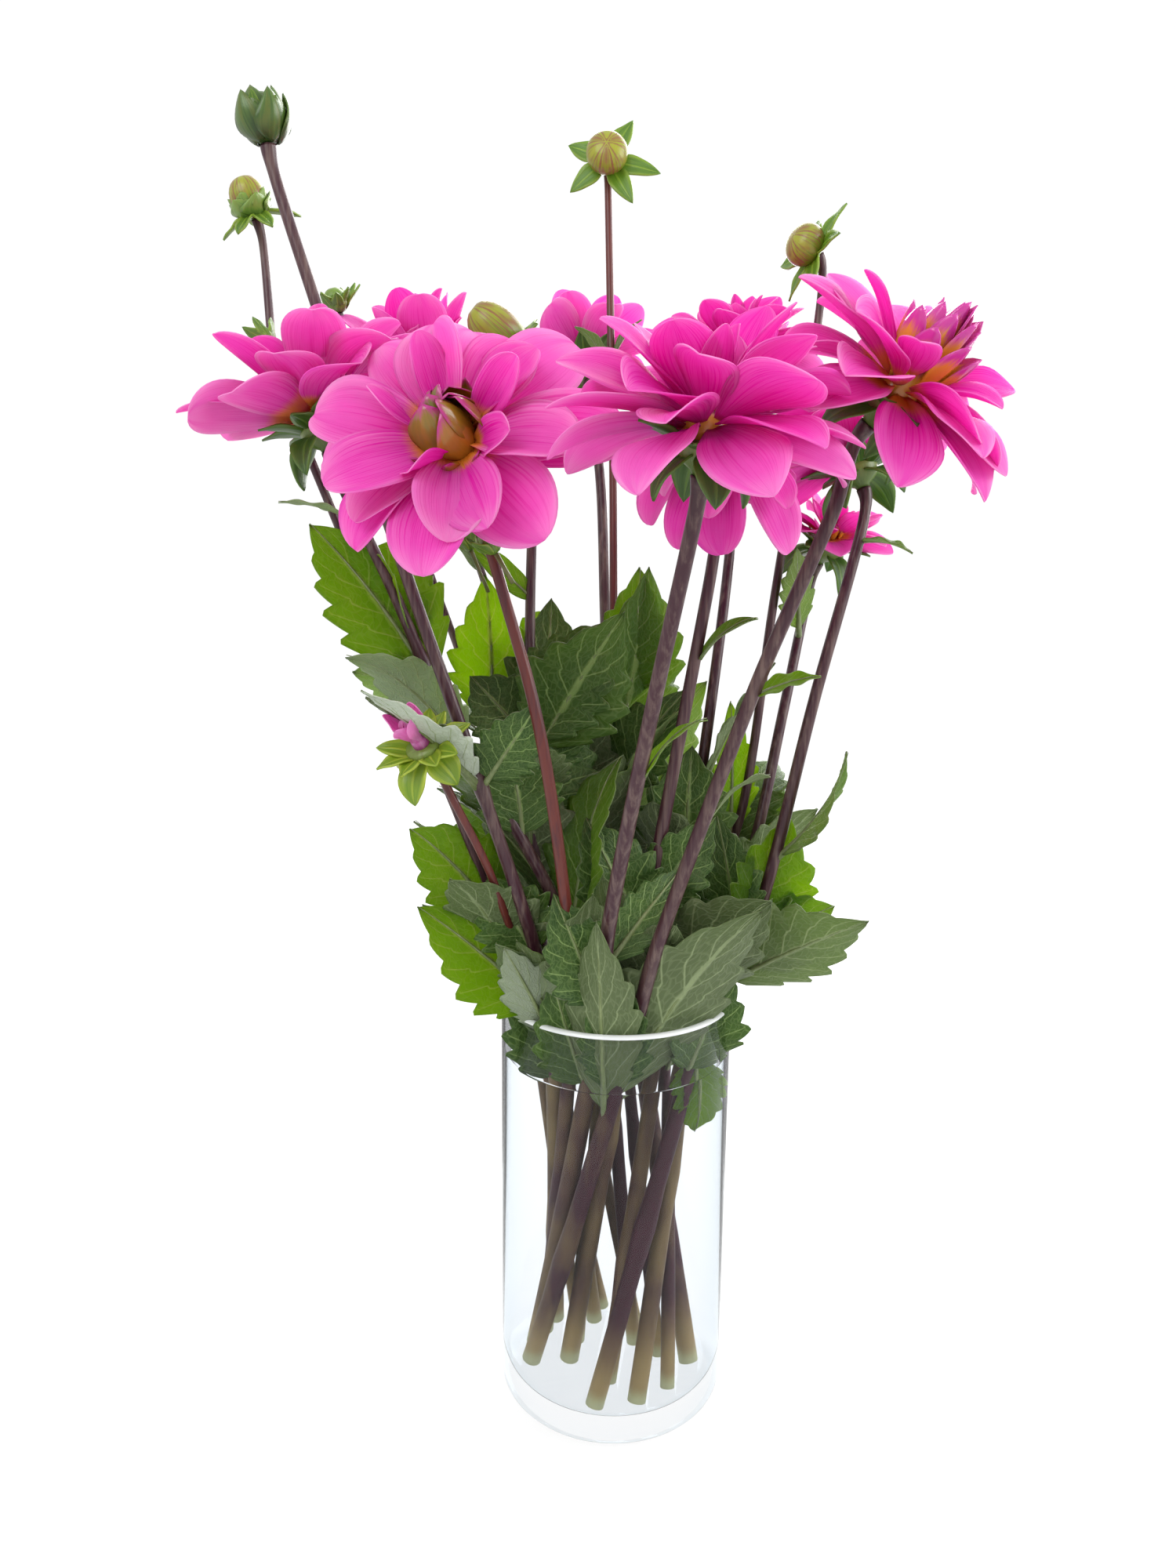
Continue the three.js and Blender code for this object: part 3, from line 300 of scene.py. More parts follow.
# Leaves that fill the bunch between these: where each starts, its tip, width, the way its upper side
# faces, bend and how bright it is. Each is moved to the point of a stem that is nearest to its start.
FILLING_LEAVES = [
    ((-91, -35, 381), (-141, -22, 462), 46, (0.4, -1, 0.3), -0.4, 0.9),
    ((-66, -58, 342), (-104, -110, 388), 27, (0.7, 1, 0.2), -0.2, 1.9),
    ((-28, 6, 312), (-24, 8, 372), 40, (0.1, -1, 0.1), -0.3, 0.1),
    ((40, 6, 236), (48, 4, 300), 38, (0.1, -1, 0.1), -0.3, 0.1),
    ((-72, -40, 374), (-124, -42, 396), 28, (-0.2, 1, 0.5), -0.5, 1.15),
    ((-38, 40, 385), (-34, 45, 421), 24, (0, -1, 0.2), -0.3, 0.8),
    ((-41, -20, 359), (-7, -16, 418), 40, (-0.3, -1, 0.3), -0.4, 0.25),
    ((-40, -5, 351), (-76, 0, 386), 34, (0.2, -1, 0.4), -0.5, 0.1),
    ((9, 20, 366), (17, 24, 440), 34, (0.3, -1, 0.1), -0.3, 0.6),
    ((-7, 50, 330), (-11, 55, 394), 26, (0, -1, 0), -0.3, 1.0),
    ((4, 10, 325), (33, 0, 378), 36, (-0.4, -1, 0.3), -0.5, 0.1),
    ((55, 40, 296), (61, 50, 371), 22, (0.5, -1, 0), -0.2, 0.9),
    ((-66, -52, 339), (-45, -52, 366), 22, (0.3, -1, 0.2), -0.4, 0.2),
    ((-29, -30, 317), (-50, -32, 356), 34, (0.1, -1, 0.2), -0.4, 0.2),
    ((-27, -10, 272), (-52, -6, 342), 50, (0.2, 1, 0.1), -0.3, 0.0),
    ((1, 5, 272), (-1, -2, 350), 46, (-0.3, 1, 0.1), -0.3, 0.1),
    ((22, -4, 262), (12, -12, 330), 42, (0.3, 1, 0.2), -0.4, 0.0),
    ((-55, -15, 267), (-101, -12, 316), 40, (0.4, -1, 0.4), -0.5, 0.9),
    ((-46, -35, 222), (-95, -42, 282), 42, (0.3, -1, 0.5), -0.5, 1.0),
    ((-33, -44, 212), (-52, -62, 269), 21, (0.2, 0.8, 0.5), -0.5, 0.6),
    ((-16, -40, 168), (-11, -75, 288), 30, (0.1, 1, 0.1), 0.05, 0.25),
    ((2, -42, 170), (67, -79, 291), 50, (-0.6, 1, 0.1), -0.5, 0.25),
    ((-6, -50, 262), (32, -34, 299), 20, (-0.3, -1, 0.2), -0.5, 0.1),
    ((69, 0, 246), (91, 2, 317), 40, (0.3, -1, 0.2), -0.4, 0.9),
    ((66, -5, 244), (110, -8, 274), 32, (-0.2, -1, 0.5), -0.4, 0.8),
    ((57, -10, 252), (54, -8, 319), 28, (-0.3, -1, 0.1), -0.2, 0.1),
    ((-34, -40, 255), (-64, -34, 292), 34, (0.2, -1, 0.3), -0.5, 0.3),
    ((-40, -30, 206), (-53, -63, 270), 22, (-0.3, 1, 0.2), 0.3, 1.5),
    ((28, -20, 267), (44, -18, 322), 28, (-0.4, -1, 0.1), -0.3, 0.1),
    ((20, -30, 262), (-19, -30, 320), 36, (0.1, -1, 0.2), -0.4, 0.1),
    ((-8, -42, 232), (-34, -66, 290), 32, (0.2, -1, 0.2), -0.5, 0.1),
    ((14, -40, 226), (24, -62, 282), 34, (0.2, 1, 0.2), -0.4, 0.1),
    ((-30, -26, 176), (-46, -38, 250), 34, (0.2, -1, 0.2), -0.3, 0.1),
    ((-20, -36, 178), (-36, -48, 246), 30, (0.2, -1, 0.2), -0.3, 0.2),
    ((0, -36, 172), (-4, -52, 252), 30, (0, -1, 0.2), -0.3, 0.05),
    ((16, -34, 176), (30, -48, 250), 34, (-0.2, 1, 0.2), -0.4, 0.1),
    ((30, -22, 176), (50, -34, 250), 34, (0.3, -1, 0.2), -0.3, 0.15),
    ((26, 10, 172), (44, 14, 246), 32, (0.3, -1, 0.2), -0.3, 0.3),
    ((-24, 16, 176), (-42, 24, 250), 32, (-0.3, -1, 0.2), -0.3, 0.3),
    ((34, -8, 197), (44, -14, 148), 25, (0.3, -1, 0.1), -0.5, 0.8),
    ((-30, 5, 322), (-44, 6, 376), 40, (0, -1, 0.1), -0.3, 0.1),
    ((-20, 20, 300), (-20, 24, 372), 44, (0.1, 1, 0.1), -0.3, 0.1),
    ((24, 10, 282), (34, 6, 352), 42, (0, -1, 0.1), -0.3, 0.15),
    ((24, -8, 236), (30, -6, 296), 38, (-0.1, -1, 0.1), -0.3, 0.05),
    ((-66, 5, 430), (-80, 2, 452), 12, (0.2, -1, 0.4), -0.5, 0.8),
    ((60, 44, 262), (98, 66, 330), 40, (0.5, -0.4, 1), -0.4, 0.5),
    ((-40, 48, 262), (-86, 78, 330), 42, (-0.4, -0.2, 1), -0.5, 0.5),
    ((6, 62, 268), (8, 106, 340), 44, (0.1, 0.6, 1), -0.5, 0.4),
    ((26, 56, 300), (48, 96, 380), 40, (0.4, 0.6, 0.8), -0.4, 0.6),
    ((-26, 40, 330), (-30, 92, 398), 38, (-0.1, 0.7, 0.8), -0.5, 0.5),
    ((-60, 24, 300), (-112, 40, 350), 38, (-0.6, 0.1, 1), -0.5, 0.6),
    ((30, 40, 240), (64, 84, 280), 42, (0.4, 0.5, 1), -0.5, 0.3),
    ((-20, 52, 236), (-44, 92, 282), 42, (-0.3, 0.6, 1), -0.5, 0.3),
    ((66, -4, 300), (112, -24, 352), 32, (0.7, -0.3, 1), -0.4, 0.5),
]

# ---- faces, walls, camera and lamps

# Columns and rows of faces in each kind of blade.
PETAL_GRID = (12, 18)
SCALE_GRID = (8, 12)
BRACT_GRID = (6, 12)
SMALL_GRID = (6, 10)
LEAF_GRID = (14, 42)
RIB_STEPS = 14
LEAVES_A_PIECE = 9  # filling leaves in each piece

# The jar and its water in metres: the jar's corners and lip, how high the water creeps up the glass,
# and how far it reaches into it, so that no gap shows between the two.
CORNER = 0.008
LIP = 0.0016
CREEP = 0.0015
WET_OVERLAP = 0.0001

# Thicknesses of blades, and how near points are that merge, in metres.
BRACT_WALL = 0.0009
SMALL_WALL = 0.0008
SCALE_WALL = 0.0006
BLADE_WELD = 0.00008
ROD_WELD = 0.00002
VESSEL_WELD = 0.00001

# The photograph's camera: its place in metres, its angles in degrees, and its lens and sensor.
CAMERA_PLACE = (-0.0159, -0.551, 0.430)
CAMERA_TILT = 79.97
CAMERA_ROLL = 0.62
LENS = 25.3
SENSOR_HEIGHT = 36

# The stage in metres: the floor, and the backdrop that it bends up into.
FLOOR_SIZE = 6
BACKDROP_HEIGHT = 5
BACKDROP_BEND = 1.2

# Each lamp: its power's setting, its width, its place and what it is aimed at, in metres.
LAMPS = {
    "key light": ("key", 1.2, (-0.9, -1.3, 1.5), (0, 0, 0.4)),
    "back light": ("back", 1.6, (0.5, 1.3, 1.2), (0, 0, 0.4)),
    "side light": ("key", 1.0, (1.4, -0.3, 0.9), (0, 0, 0.3)),
}

# ---- the flowers' own arithmetic


def wobble(seed):
    """One value from -1 to 1 for each seed."""
    value = sin(seed * 12.9898) * 43758.5453
    return (value - floor(value)) * 2 - 1


def stem_points(name):
    """The points that a stem's line passes through."""
    _, (x, y), way, end, face = STEMS[name]
    foot = Vector((y * FOOT_SPREAD, -x * FOOT_SPREAD, FOOT_HEIGHT))
    top = Vector(end)
    neck = top - Vector(face).normalized() * NECK_SHOWN
    return [foot, Vector((x, y, RIM_HEIGHT)), *(Vector(point) for point in way), neck, top]


def smooth_line(points, steps):
    """A smooth line through the points, with that many steps from each to the next."""
    before = points[0] * 2 - points[1]
    after = points[-1] * 2 - points[-2]
    knots = [before, *points, after]
    line = []
    for i in range(1, len(knots) - 2):
        start, end = knots[i], knots[i + 1]
        leave, arrive = (end - knots[i - 1]) / 2, (knots[i + 2] - start) / 2
        leave, arrive = (slope * min(1, (end - start).length / slope.length) for slope in (leave, arrive))
        for k in range(steps):
            t = k / steps
            line.append(
                start * (2 * t**3 - 3 * t**2 + 1)
                + leave * (t**3 - 2 * t**2 + t)
                + end * (3 * t**2 - 2 * t**3)
                + arrive * (t**3 - t**2)
            )
    return [*line, points[-1]]


def eased_top(line, count=18, rounds=24):
    """The line with the bend among its last points rounded off."""
    line = list(line)
    for _ in range(rounds):
        for i in range(len(line) - count, len(line) - 1):
            line[i] = line[i] * 0.5 + (line[i - 1] + line[i + 1]) * 0.25
    return line


def stem_radius(name, z):
    """A stem's radius at a height."""
    foot, top = FOOT_HEIGHT, STEMS[name][3][2]
    return STEMS[name][0] * (1 - TAPER * (z - foot) / (top - foot))


def node_on(name, z):
    """The middle, direction and radius of a stem at a height."""
    line = smooth_line(stem_points(name), 8)
    high = next(i for i, point in enumerate(line) if i and point.z >= z)
    low, top = line[high - 1], line[high]
    share = (z - low.z) / (top.z - low.z)
    return low.lerp(top, share), (top - low).normalized(), stem_radius(name, z)


def head_frame(face):
    """Two directions across a flower's head and the one it faces."""
    axis = Vector(face).normalized()
    across = UP.cross(axis).normalized()
    return across, axis.cross(across), axis


def row_share(j, count, crowd):
    """How far along a blade a row lies. Rows crowd towards the tip where crowd is over 1."""
    return 1 - (1 - j / count) ** crowd


@dataclass
class Blade:
    """A petal, bract or leaf on a bent centre line, before it gets its thickness."""

    root: Vector
    along: Vector
    normal: Vector
    length: float
    width: float
    bend: float
    outline: Callable
    seed: float
    # On a leaf this value is painted light and shade. On a petal it is partly painted shade.
    own: float = None  # what sets its colour apart
    fold: float = 0.24
    recurve: float = 0  # extra turn that grows towards the tip
    twist: float = 0  # turn about its own length from root to tip
    sway: float = 0  # turn to one side from root to tip
    ripple: float = 0  # height of the waves along its edges
    waves: float = 1.5
    pleat: float = 0  # depth of the grooves along it
    pleats: float = 1.5
    teeth: int = 0
    tooth_depth: float = 0
    quilt: float = 0  # how far the blade swells up between its side veins

    def __post_init__(self):
        if self.own is None:
            self.own = (wobble(self.seed * 3.7) + 1) / 2

    def rows(self, count, crowd=1):
        """The centre line's points with the direction, side and normal at each."""
        side = self.along.cross(self.normal).normalized()
        point = self.root.copy()
        rows = []
        for j in range(count + 1):
            t = row_share(j, count, crowd)
            step = self.length * (row_share(j + 1, count, crowd) - t) if j < count else 0
            rise = self.bend * t + self.recurve * t**3
            turn = self.sway * t
            ahead = self.along * cos(rise) + self.normal * sin(rise)
            lifted = self.normal * cos(rise) - self.along * sin(rise)
            forward = ahead * cos(turn) + side * sin(turn)
            across = side * cos(turn) - ahead * sin(turn)
            angle = self.twist * t
            rows.append((
                point.copy(),
                forward,
                across * cos(angle) + lifted * sin(angle),
                lifted * cos(angle) - across * sin(angle),
            ))
            point += forward * step
        return rows

    def edge(self, t):
        """The half width at a share of the length, and how far its point leans forward."""
        half = self.width / 2 * self.outline(t)
        if not self.teeth:
            return half, 0
        phase = t * self.teeth % 1
        tooth = phase / 0.75 if phase < 0.75 else (1 - phase) / 0.25
        reach = self.tooth_depth * tooth * self.outline(t)
        return half * (1 + reach), reach * self.length / self.teeth * 0.6

    def vertices(self, columns, count, crowd):
        """Its points row by row, in metres."""
        points = []
        shift = 3 * wobble(self.seed + 5)
        for j, (middle, forward, across, lifted) in enumerate(self.rows(count, crowd)):
            t = row_share(j, count, crowd)
            half, lean = self.edge(t)
            for i in range(columns + 1):
                u = 2 * i / columns - 1
                x = u * half
                lift = self.fold * abs(x) ** 1.5 / max(half, 0.5) ** 0.5
                lift += self.ripple * u * abs(u) * sin(TURN * self.waves * t + shift) * sin(pi * t)
                groove = cos(TURN * self.pleats * u) * sin(pi * min(1, t * 1.3))
                lift += self.pleat * groove * self.outline(t)
                if self.quilt:
                    lift += self.quilt * abs(sin(pi * side_vein(t, abs(u)))) * sqrt(max(0, 1 - u * u))
                points.append((middle + across * x + lifted * lift + forward * lean * u * u) * MM)
        return points


def side_vein(t, across):
    """A whole number where a side vein lies."""
    return (t - VEIN_SLANT * across) * VEINS


def petal_outline(t):
    """A petal's width: narrow at its claw, widest past the middle and softly pointed."""
    return 0.14 * (1 - t) + 0.94 * max(0.0, sin(pi * min(t, 1) ** 1.36)) ** 0.72


def round_petal(t):
    """A broader petal's width, with a rounder tip."""
    return 0.16 * (1 - t) + 0.97 * max(0.0, sin(pi * min(t, 1) ** 1.55)) ** 0.52


def bract_outline(t):
    """A bract's width: broad near its foot, then narrowing to a point."""
    return 0.3 * (1 - t) ** 2 + max(0.0, sin(pi * min(t, 1) ** 0.8)) ** 0.9


def leaf_outline(width):
    """A leaf's width: a narrow stalk, then a broad oval that narrows to a point."""
    stalk = min(1, 3 / width)

    def outline(t):
        if t < 0.1:
            return stalk
        oval = max(0.0, sin(pi * ((t - 0.08) / 0.92) ** 0.78)) ** 0.95
        return stalk * (1 - t) + 0.95 * oval

    return outline


def outward_blade(origin, head, angle, pitch, ring, rise, roll, **shape):
    """A blade that grows out from a flower's axis at an angle round it and rises at a pitch."""
    across, over, axis = head
    outward = across * cos(angle) + over * sin(angle)
    along = outward * cos(pitch) + axis * sin(pitch)
    normal = axis * cos(pitch) - outward * sin(pitch)
    return Blade(
        root=origin + axis * rise + outward * ring,
        along=along,
        normal=Matrix.Rotation(roll, 3, along) @ normal,
        **shape,
    )


def petal_blades(origin, head, layers, size, seed, outline, first_row=0):
    """A flower's petals, layer by layer from the outside in."""
    blades = []
    # Each petal's own value rises towards the inner rows, and its finish paints a higher value darker:
    # painted shade in the flower's middle.
    painted_shade_start = 0.32 if first_row else 0.22
    for row, (count, pitch, length, width, bend, ring, rise, roll) in enumerate(layers, first_row):
        for i in range(count):
            key = seed + row * 100 + i * 3
            angle = TURN * (i + 0.5 * (row % 2) + 0.18 * wobble(key)) / count + 0.37 * row
            blades.append(outward_blade(
                origin, head, angle, pitch + 0.13 * wobble(key + 1),
                ring=ring * size, rise=rise * size, roll=roll,
                length=length * size * (1 + 0.1 * wobble(key + 2)),
                width=width * size * (1 + 0.08 * wobble(key + 4)),
                bend=bend, outline=outline, fold=0.28 + 0.14 * wobble(key + 5),
                recurve=-0.25 + 0.3 * wobble(key + 6), twist=0.25 * wobble(key + 7),
                sway=0.12 * wobble(key + 8), ripple=1.1 * size, waves=1 + 0.5 * wobble(key + 9),
                pleat=0.45 * size, pleats=1.4, seed=key,
                own=min(1, max(0, painted_shade_start + 0.2 * (row - first_row) + 0.3 * wobble(key + 10))),
            ))
    return blades


def bract_blades(origin, head, seed, count, length, width, ring, rise, pitch, bend):
    """The small green leaves round a calyx or a bud."""
    blades = []
    for i in range(count):
        angle = TURN * (i + 0.2 * wobble(seed + i)) / count
        blades.append(outward_blade(
            origin, head, angle, pitch + 0.15 * wobble(seed + 31 + i), ring=ring, rise=rise, roll=0,
            length=length * (1 + 0.12 * wobble(seed + 57 + i)), width=width, bend=bend,
            outline=bract_outline, fold=0.2, twist=0.3 * wobble(seed + i + 3),
            ripple=0.5, pleat=0.25, pleats=1, seed=seed + i,
        ))
    return blades


def heart_blades(origin, head, rings, scale, seed):
    """The scales or florets round the core of a flower."""
    blades = []
    for row, (count, pitch, length, width, bend, ring, rise) in enumerate(rings):
        for i in range(count):
            key = seed + 41 * row + i
            angle = TURN * (i + 0.5 * row + 0.15 * wobble(key)) / count
            blades.append(outward_blade(
                origin, head, angle, pitch, ring=ring * scale, rise=rise * scale, roll=0.3,
                length=length * scale * (1 + 0.08 * wobble(key)), width=width * scale,
                bend=bend, outline=petal_outline, fold=0.55, seed=key,
            ))
    return blades


def scale_blades(origin, head, radius, height, wrap, seed):
    """The two rings of green scales that wrap a bud."""
    blades = []
    for i in range(2 * SCALES_A_RING):
        ring, place = divmod(i, SCALES_A_RING)
        key = seed + place + 9 * ring
        angle = TURN * (place + 0.5 * ring + 0.1 * wobble(key)) / SCALES_A_RING
        blades.append(outward_blade(
            origin, head, angle, 0.55 + 0.15 * ring,
            ring=radius * 0.45, rise=height * 0.02 + ring, roll=0.12,
            length=height * 1.1 * wrap, width=radius * 1.5, bend=1.7 * wrap,
            outline=bract_outline, fold=0.5, seed=key,
        ))
    return blades


def arched_leaf(root, tip, normal, width, bend, own):
    """A leaf from its root to its tip along an arc."""
    chord = Vector(tip) - root
    length = chord.length
    chord.normalize()
    normal = (normal - chord * normal.dot(chord)).normalized()
    half = bend / 2
    key = root.z + width * 7 + tip[0]
    large = width > LARGE_LEAF
    return Blade(
        root=root,
        along=chord * cos(half) - normal * sin(half),
        normal=normal * cos(half) + chord * sin(half),
        length=length * half / sin(half),
        width=width,
        bend=bend,
        outline=leaf_outline(width) if large else bract_outline,
        fold=0.22 + 0.1 * wobble(key + 4),
        twist=0.4 * wobble(key),
        sway=0.2 * wobble(key + 1),
        recurve=-0.3 + 0.35 * wobble(key + 2),
        ripple=width * 0.06,
        waves=2 + wobble(key + 3),
        teeth=VEINS if large else 0,
        tooth_depth=0.34,
        quilt=width * 0.02 if large else 0,
        seed=key,
        own=own,
    )


def leaf_blade(stem, z, tip, width, roll, bend, own):
    """A leaf that grows from a height on its stem."""
    middle, stem_along, radius = node_on(stem, z)
    chord = (Vector(tip) - middle).normalized()
    normal = Matrix.Rotation(roll, 3, chord) @ (UP - chord * chord.z)
    outward = (chord - stem_along * chord.dot(stem_along)).normalized()
    return arched_leaf(middle + outward * radius * 0.7, tip, normal, width, bend, own)


def filling_leaf(start, tip, width, face, bend, own):
    """A leaf that grows from the stem nearest to where it starts."""
    start = Vector(start)
    near = min(
        (point for name in STEMS for point in smooth_line(stem_points(name), 12)),
        key=lambda point: (point - start).length,
    )
    return arched_leaf(near, tip, Vector(face), width, bend, own)


# ---- shader arithmetic


class Value:
    """A node's output that takes part in sums as a number does."""

    def __init__(self, finish, socket):
        self.finish, self.socket = finish, socket

    def sum_with(self, operation, first, second=0.0, clamp=False):
        return self.finish.node(
            "ShaderNodeMath", {"operation": operation, "use_clamp": clamp}, {0: first, 1: second}
        )

    def __add__(self, other):
        return self.sum_with("ADD", self, other)

    def __radd__(self, other):
        return self.sum_with("ADD", other, self)

    def __sub__(self, other):
        return self.sum_with("SUBTRACT", self, other)

    def __rsub__(self, other):
        return self.sum_with("SUBTRACT", other, self)

    def __mul__(self, other):
        return self.sum_with("MULTIPLY", self, other)

    def __rmul__(self, other):
        return self.sum_with("MULTIPLY", other, self)

    def __pow__(self, other):
        return self.sum_with("POWER", self, other)

    def __abs__(self):
        return self.sum_with("ABSOLUTE", self)

    def fraction(self):
        return self.sum_with("FRACT", self)

    def clamped(self):
        return self.sum_with("ADD", self, 0.0, clamp=True)

    def ramped(self, low, high):
        """0 below low, 1 above high and smooth between them."""
        return self.finish.node(
            "ShaderNodeMapRange",
            {"interpolation_type": "SMOOTHSTEP"},
            {"Value": self, "From Min": low, "From Max": high},
        )


def opaque(colour):
    """A colour with its alpha. A node's output stays as it is."""
    return colour if isinstance(colour, Value) else (*colour, 1)


class Finish:
    """A material with one way to add any node."""

    def __init__(self, name):
        self.material = bpy.data.materials.new(name)
        self.material.use_nodes = True
        self.tree = self.material.node_tree
        self.tree.nodes.clear()
        self.output = self.tree.nodes.new("ShaderNodeOutputMaterial")

    def node(self, kind, settings=None, inputs=None, output=0):
        """Adds a node of any kind. Its settings come first, then its inputs as values or links."""
        node = self.tree.nodes.new(kind)
        for key, value in (settings or {}).items():
            setattr(node, key, value)
        for key, value in (inputs or {}).items():
            if isinstance(value, Value):
                self.tree.links.new(value.socket, node.inputs[key])
            else:
                node.inputs[key].default_value = value
        return Value(self, node.outputs[output])

    def mixed(self, first, second, share):
        """A colour between two others."""
        colours = {6: opaque(first), 7: opaque(second)}
        return self.node("ShaderNodeMix", {"data_type": "RGBA"}, {0: share, **colours}, output=2)

    def noise(self, vector, scale, detail=2.0, roughness=0.5):
        inputs = {"Vector": vector, "Scale": scale, "Detail": detail, "Roughness": roughness}
        return self.node("ShaderNodeTexNoise", {}, inputs)

    def vector(self, x, y, z):
        return self.node("ShaderNodeCombineXYZ", {}, {"X": x, "Y": y, "Z": z})

    def place(self):
        """A point's place on the piece in metres, and its x, y and z."""
        point = self.node("ShaderNodeTexCoord", output="Object")
        return point, *(self.node("ShaderNodeSeparateXYZ", {}, {0: point}, output=i) for i in range(3))

    def own_value(self):
        """The value that sets a blade or a stem apart from the others: on leaves it is painted light and
        shade, on petals partly painted shade.
        """
        return self.node("ShaderNodeAttribute", {"attribute_name": "own"}, output="Fac")

    def bump(self, height, strength, distance):
        inputs = {"Height": height, "Strength": strength, "Distance": distance}
        return self.node("ShaderNodeBump", {}, inputs)

    def surface(self, colour, glow=None, share=0.0, second_glow=None, second_share=0.0, **settings):
        """The surface itself. A glow is the colour of the light that comes through a thin blade."""
        shader = self.node("ShaderNodeBsdfPrincipled", {}, {"Base Color": opaque(colour), **settings})
        if glow is not None:
            back = self.translucent(glow, settings["Normal"])
            if second_glow is not None:
                other = self.translucent(second_glow, settings["Normal"])
                back = self.node("ShaderNodeMixShader", {}, {0: second_share, 1: back, 2: other})
            shader = self.node("ShaderNodeMixShader", {}, {0: share, 1: shader, 2: back})
        self.tree.links.new(shader.socket, self.output.inputs["Surface"])
        return self.material

    def translucent(self, colour, normal):
        return self.node("ShaderNodeBsdfTranslucent", {}, {"Color": opaque(colour), "Normal": normal})


class BladeFinish(Finish):
    """A material that follows each blade of a piece, and differs a little from one to the next."""

    def __init__(self, name):
        super().__init__(name)
        uv = self.node("ShaderNodeTexCoord", output="UV")
        across, along = (self.node("ShaderNodeSeparateXYZ", {}, {0: uv}, output=i) for i in range(2))
        self.blade_place = across * 2.0 - 1.0, along, self.own_value()  # from -1 to 1, and from 0 to 1

    def blade_noise(self, across, along, own, detail=2.0, roughness=0.5):
        """Noise at these scales across and along a blade and from one blade to the next."""
        scaled = [place * scale for place, scale in zip(self.blade_place, (across, along, own))]
        return self.noise(self.vector(*scaled), 1.0, detail, roughness)


# ---- finishes


def petal_finish(name, colours, warm, paleness=0.0):
    """Pink petals with fine veins along them, paler at the edges, orange at the claw, and deeper towards
    the flower's middle as painted shade.
    """
    finish = BladeFinish(name)
    across, along, own = finish.blade_place
    veins = finish.blade_noise(24.0, 1.3, 40.0, detail=3.0, roughness=0.6)
    broad = finish.blade_noise(2.2, 1.4, 90.0, detail=1.0)
    vein = veins.ramped(0.44, 0.66)
    edge = (abs(across) ** 3.0) * 0.75 + along.ramped(0.75, 1.0) * 0.55
    pale = edge * broad.ramped(0.25, 0.55) + (0.35 - own) * along * 0.8 + paleness
    light = finish.mixed(colours.light, colours.edge, pale.clamped())
    # Deeper magenta along the real veins and at random, and painted shade towards each petal's foot and on
    # the inner rows.
    depth = vein * 0.7 + (0.7 - along) * 1.0 + (broad - 0.5) * 0.9 + (own - 0.5) * 0.9
    depth = (depth - paleness * 0.8).clamped()
    colour = finish.mixed(light, colours.deep, depth)
    claw = (along + (veins - 0.5) * 0.12).ramped(warm, warm + 0.16)
    return finish.surface(
        finish.mixed(colours.claw, colour, claw),
        glow=colours.glow,
        share=0.52,
        second_glow=colours.deep,
        second_share=(vein * 0.7 + (0.6 - along) * 0.7).clamped(),
        Roughness=0.45,
        Normal=finish.bump(veins, 0.35, 0.0006),
        **{"Specular IOR Level": 0.14},
    )


def leaf_finish(name, blade, pale, vein_colour, glow, share, relief, roughness):
    """A leaf's skin with a midrib, side veins and a net of fine ones.

    Its colour goes from the dark one to the light one as its own value rises: painted shade and painted
    light. A blade whose own value is over 1 has the pale colour.
    """
    finish = BladeFinish(name)
    across, along, own = finish.blade_place
    aside = abs(across)
    crossing = (along - aside * VEIN_SLANT) * float(VEINS)
    ridge = abs(crossing.fraction() - 0.5) * 2.0
    side = ridge.ramped(0.86, 0.98) * (1.0 - aside.ramped(0.75, 1.0))
    rib = 1.0 - aside.ramped(0.03, 0.09)
    net = finish.node(
        "ShaderNodeTexVoronoi",
        {"feature": "DISTANCE_TO_EDGE"},
        {"Vector": finish.vector(across * 9.0, along * 22.0, own * 30.0), "Scale": 1.0},
    )
    fine = 1.0 - net.ramped(0.0, 0.16)
    patch = finish.blade_noise(1.5, 3.0, 50.0)
    dark, light = blade
    # Painted shade and painted light: a leaf in the shade is mixed towards the dark colour, and one with
    # the light behind it towards the light colour.
    colour = finish.mixed(dark, light, (own * 0.75 + (patch - 0.3) * 0.7).clamped())
    veins = (side * 0.85 + rib + fine * 0.28).clamped()
    colour = finish.mixed(colour, pale, (own - 1.0).clamped())
    colour = finish.mixed(colour, vein_colour, veins * 0.75)
    height = (side * 0.6 + rib * 1.0 + fine * 0.35) * relief
    return finish.surface(
        colour,
        glow=glow,
        share=((own.clamped() - (own - 1.0).clamped()) * share + 0.04).clamped(),
        second_glow=(0.72, 0.8, 0.3),
        second_share=(veins * 0.8 + (patch - 0.5) * 0.6).clamped(),
        Roughness=roughness,
        Normal=finish.bump(height + patch * 0.3, 0.5, 0.0008),
        **{"Specular IOR Level": 0.22},
    )


def stem_finish(name, bark, bloom):
    """A smooth stem, streaked along, with a grey bloom in places."""
    finish = Finish(name)
    point, x, y, z = finish.place()
    streak = finish.noise(finish.vector(x * 420.0, y * 420.0, z * 22.0), 1.0, 3.0, 0.6)
    patch = finish.noise(point, 28.0)
    share = streak.ramped(0.4, 0.75) * 0.6 + patch.ramped(0.5, 0.8) * 0.3
    return finish.surface(
        finish.mixed(bark, bloom, share.clamped()),
        Roughness=0.34,
        Normal=finish.bump(streak, 0.25, 0.0004),
        **{"Specular IOR Level": 0.4},
    )


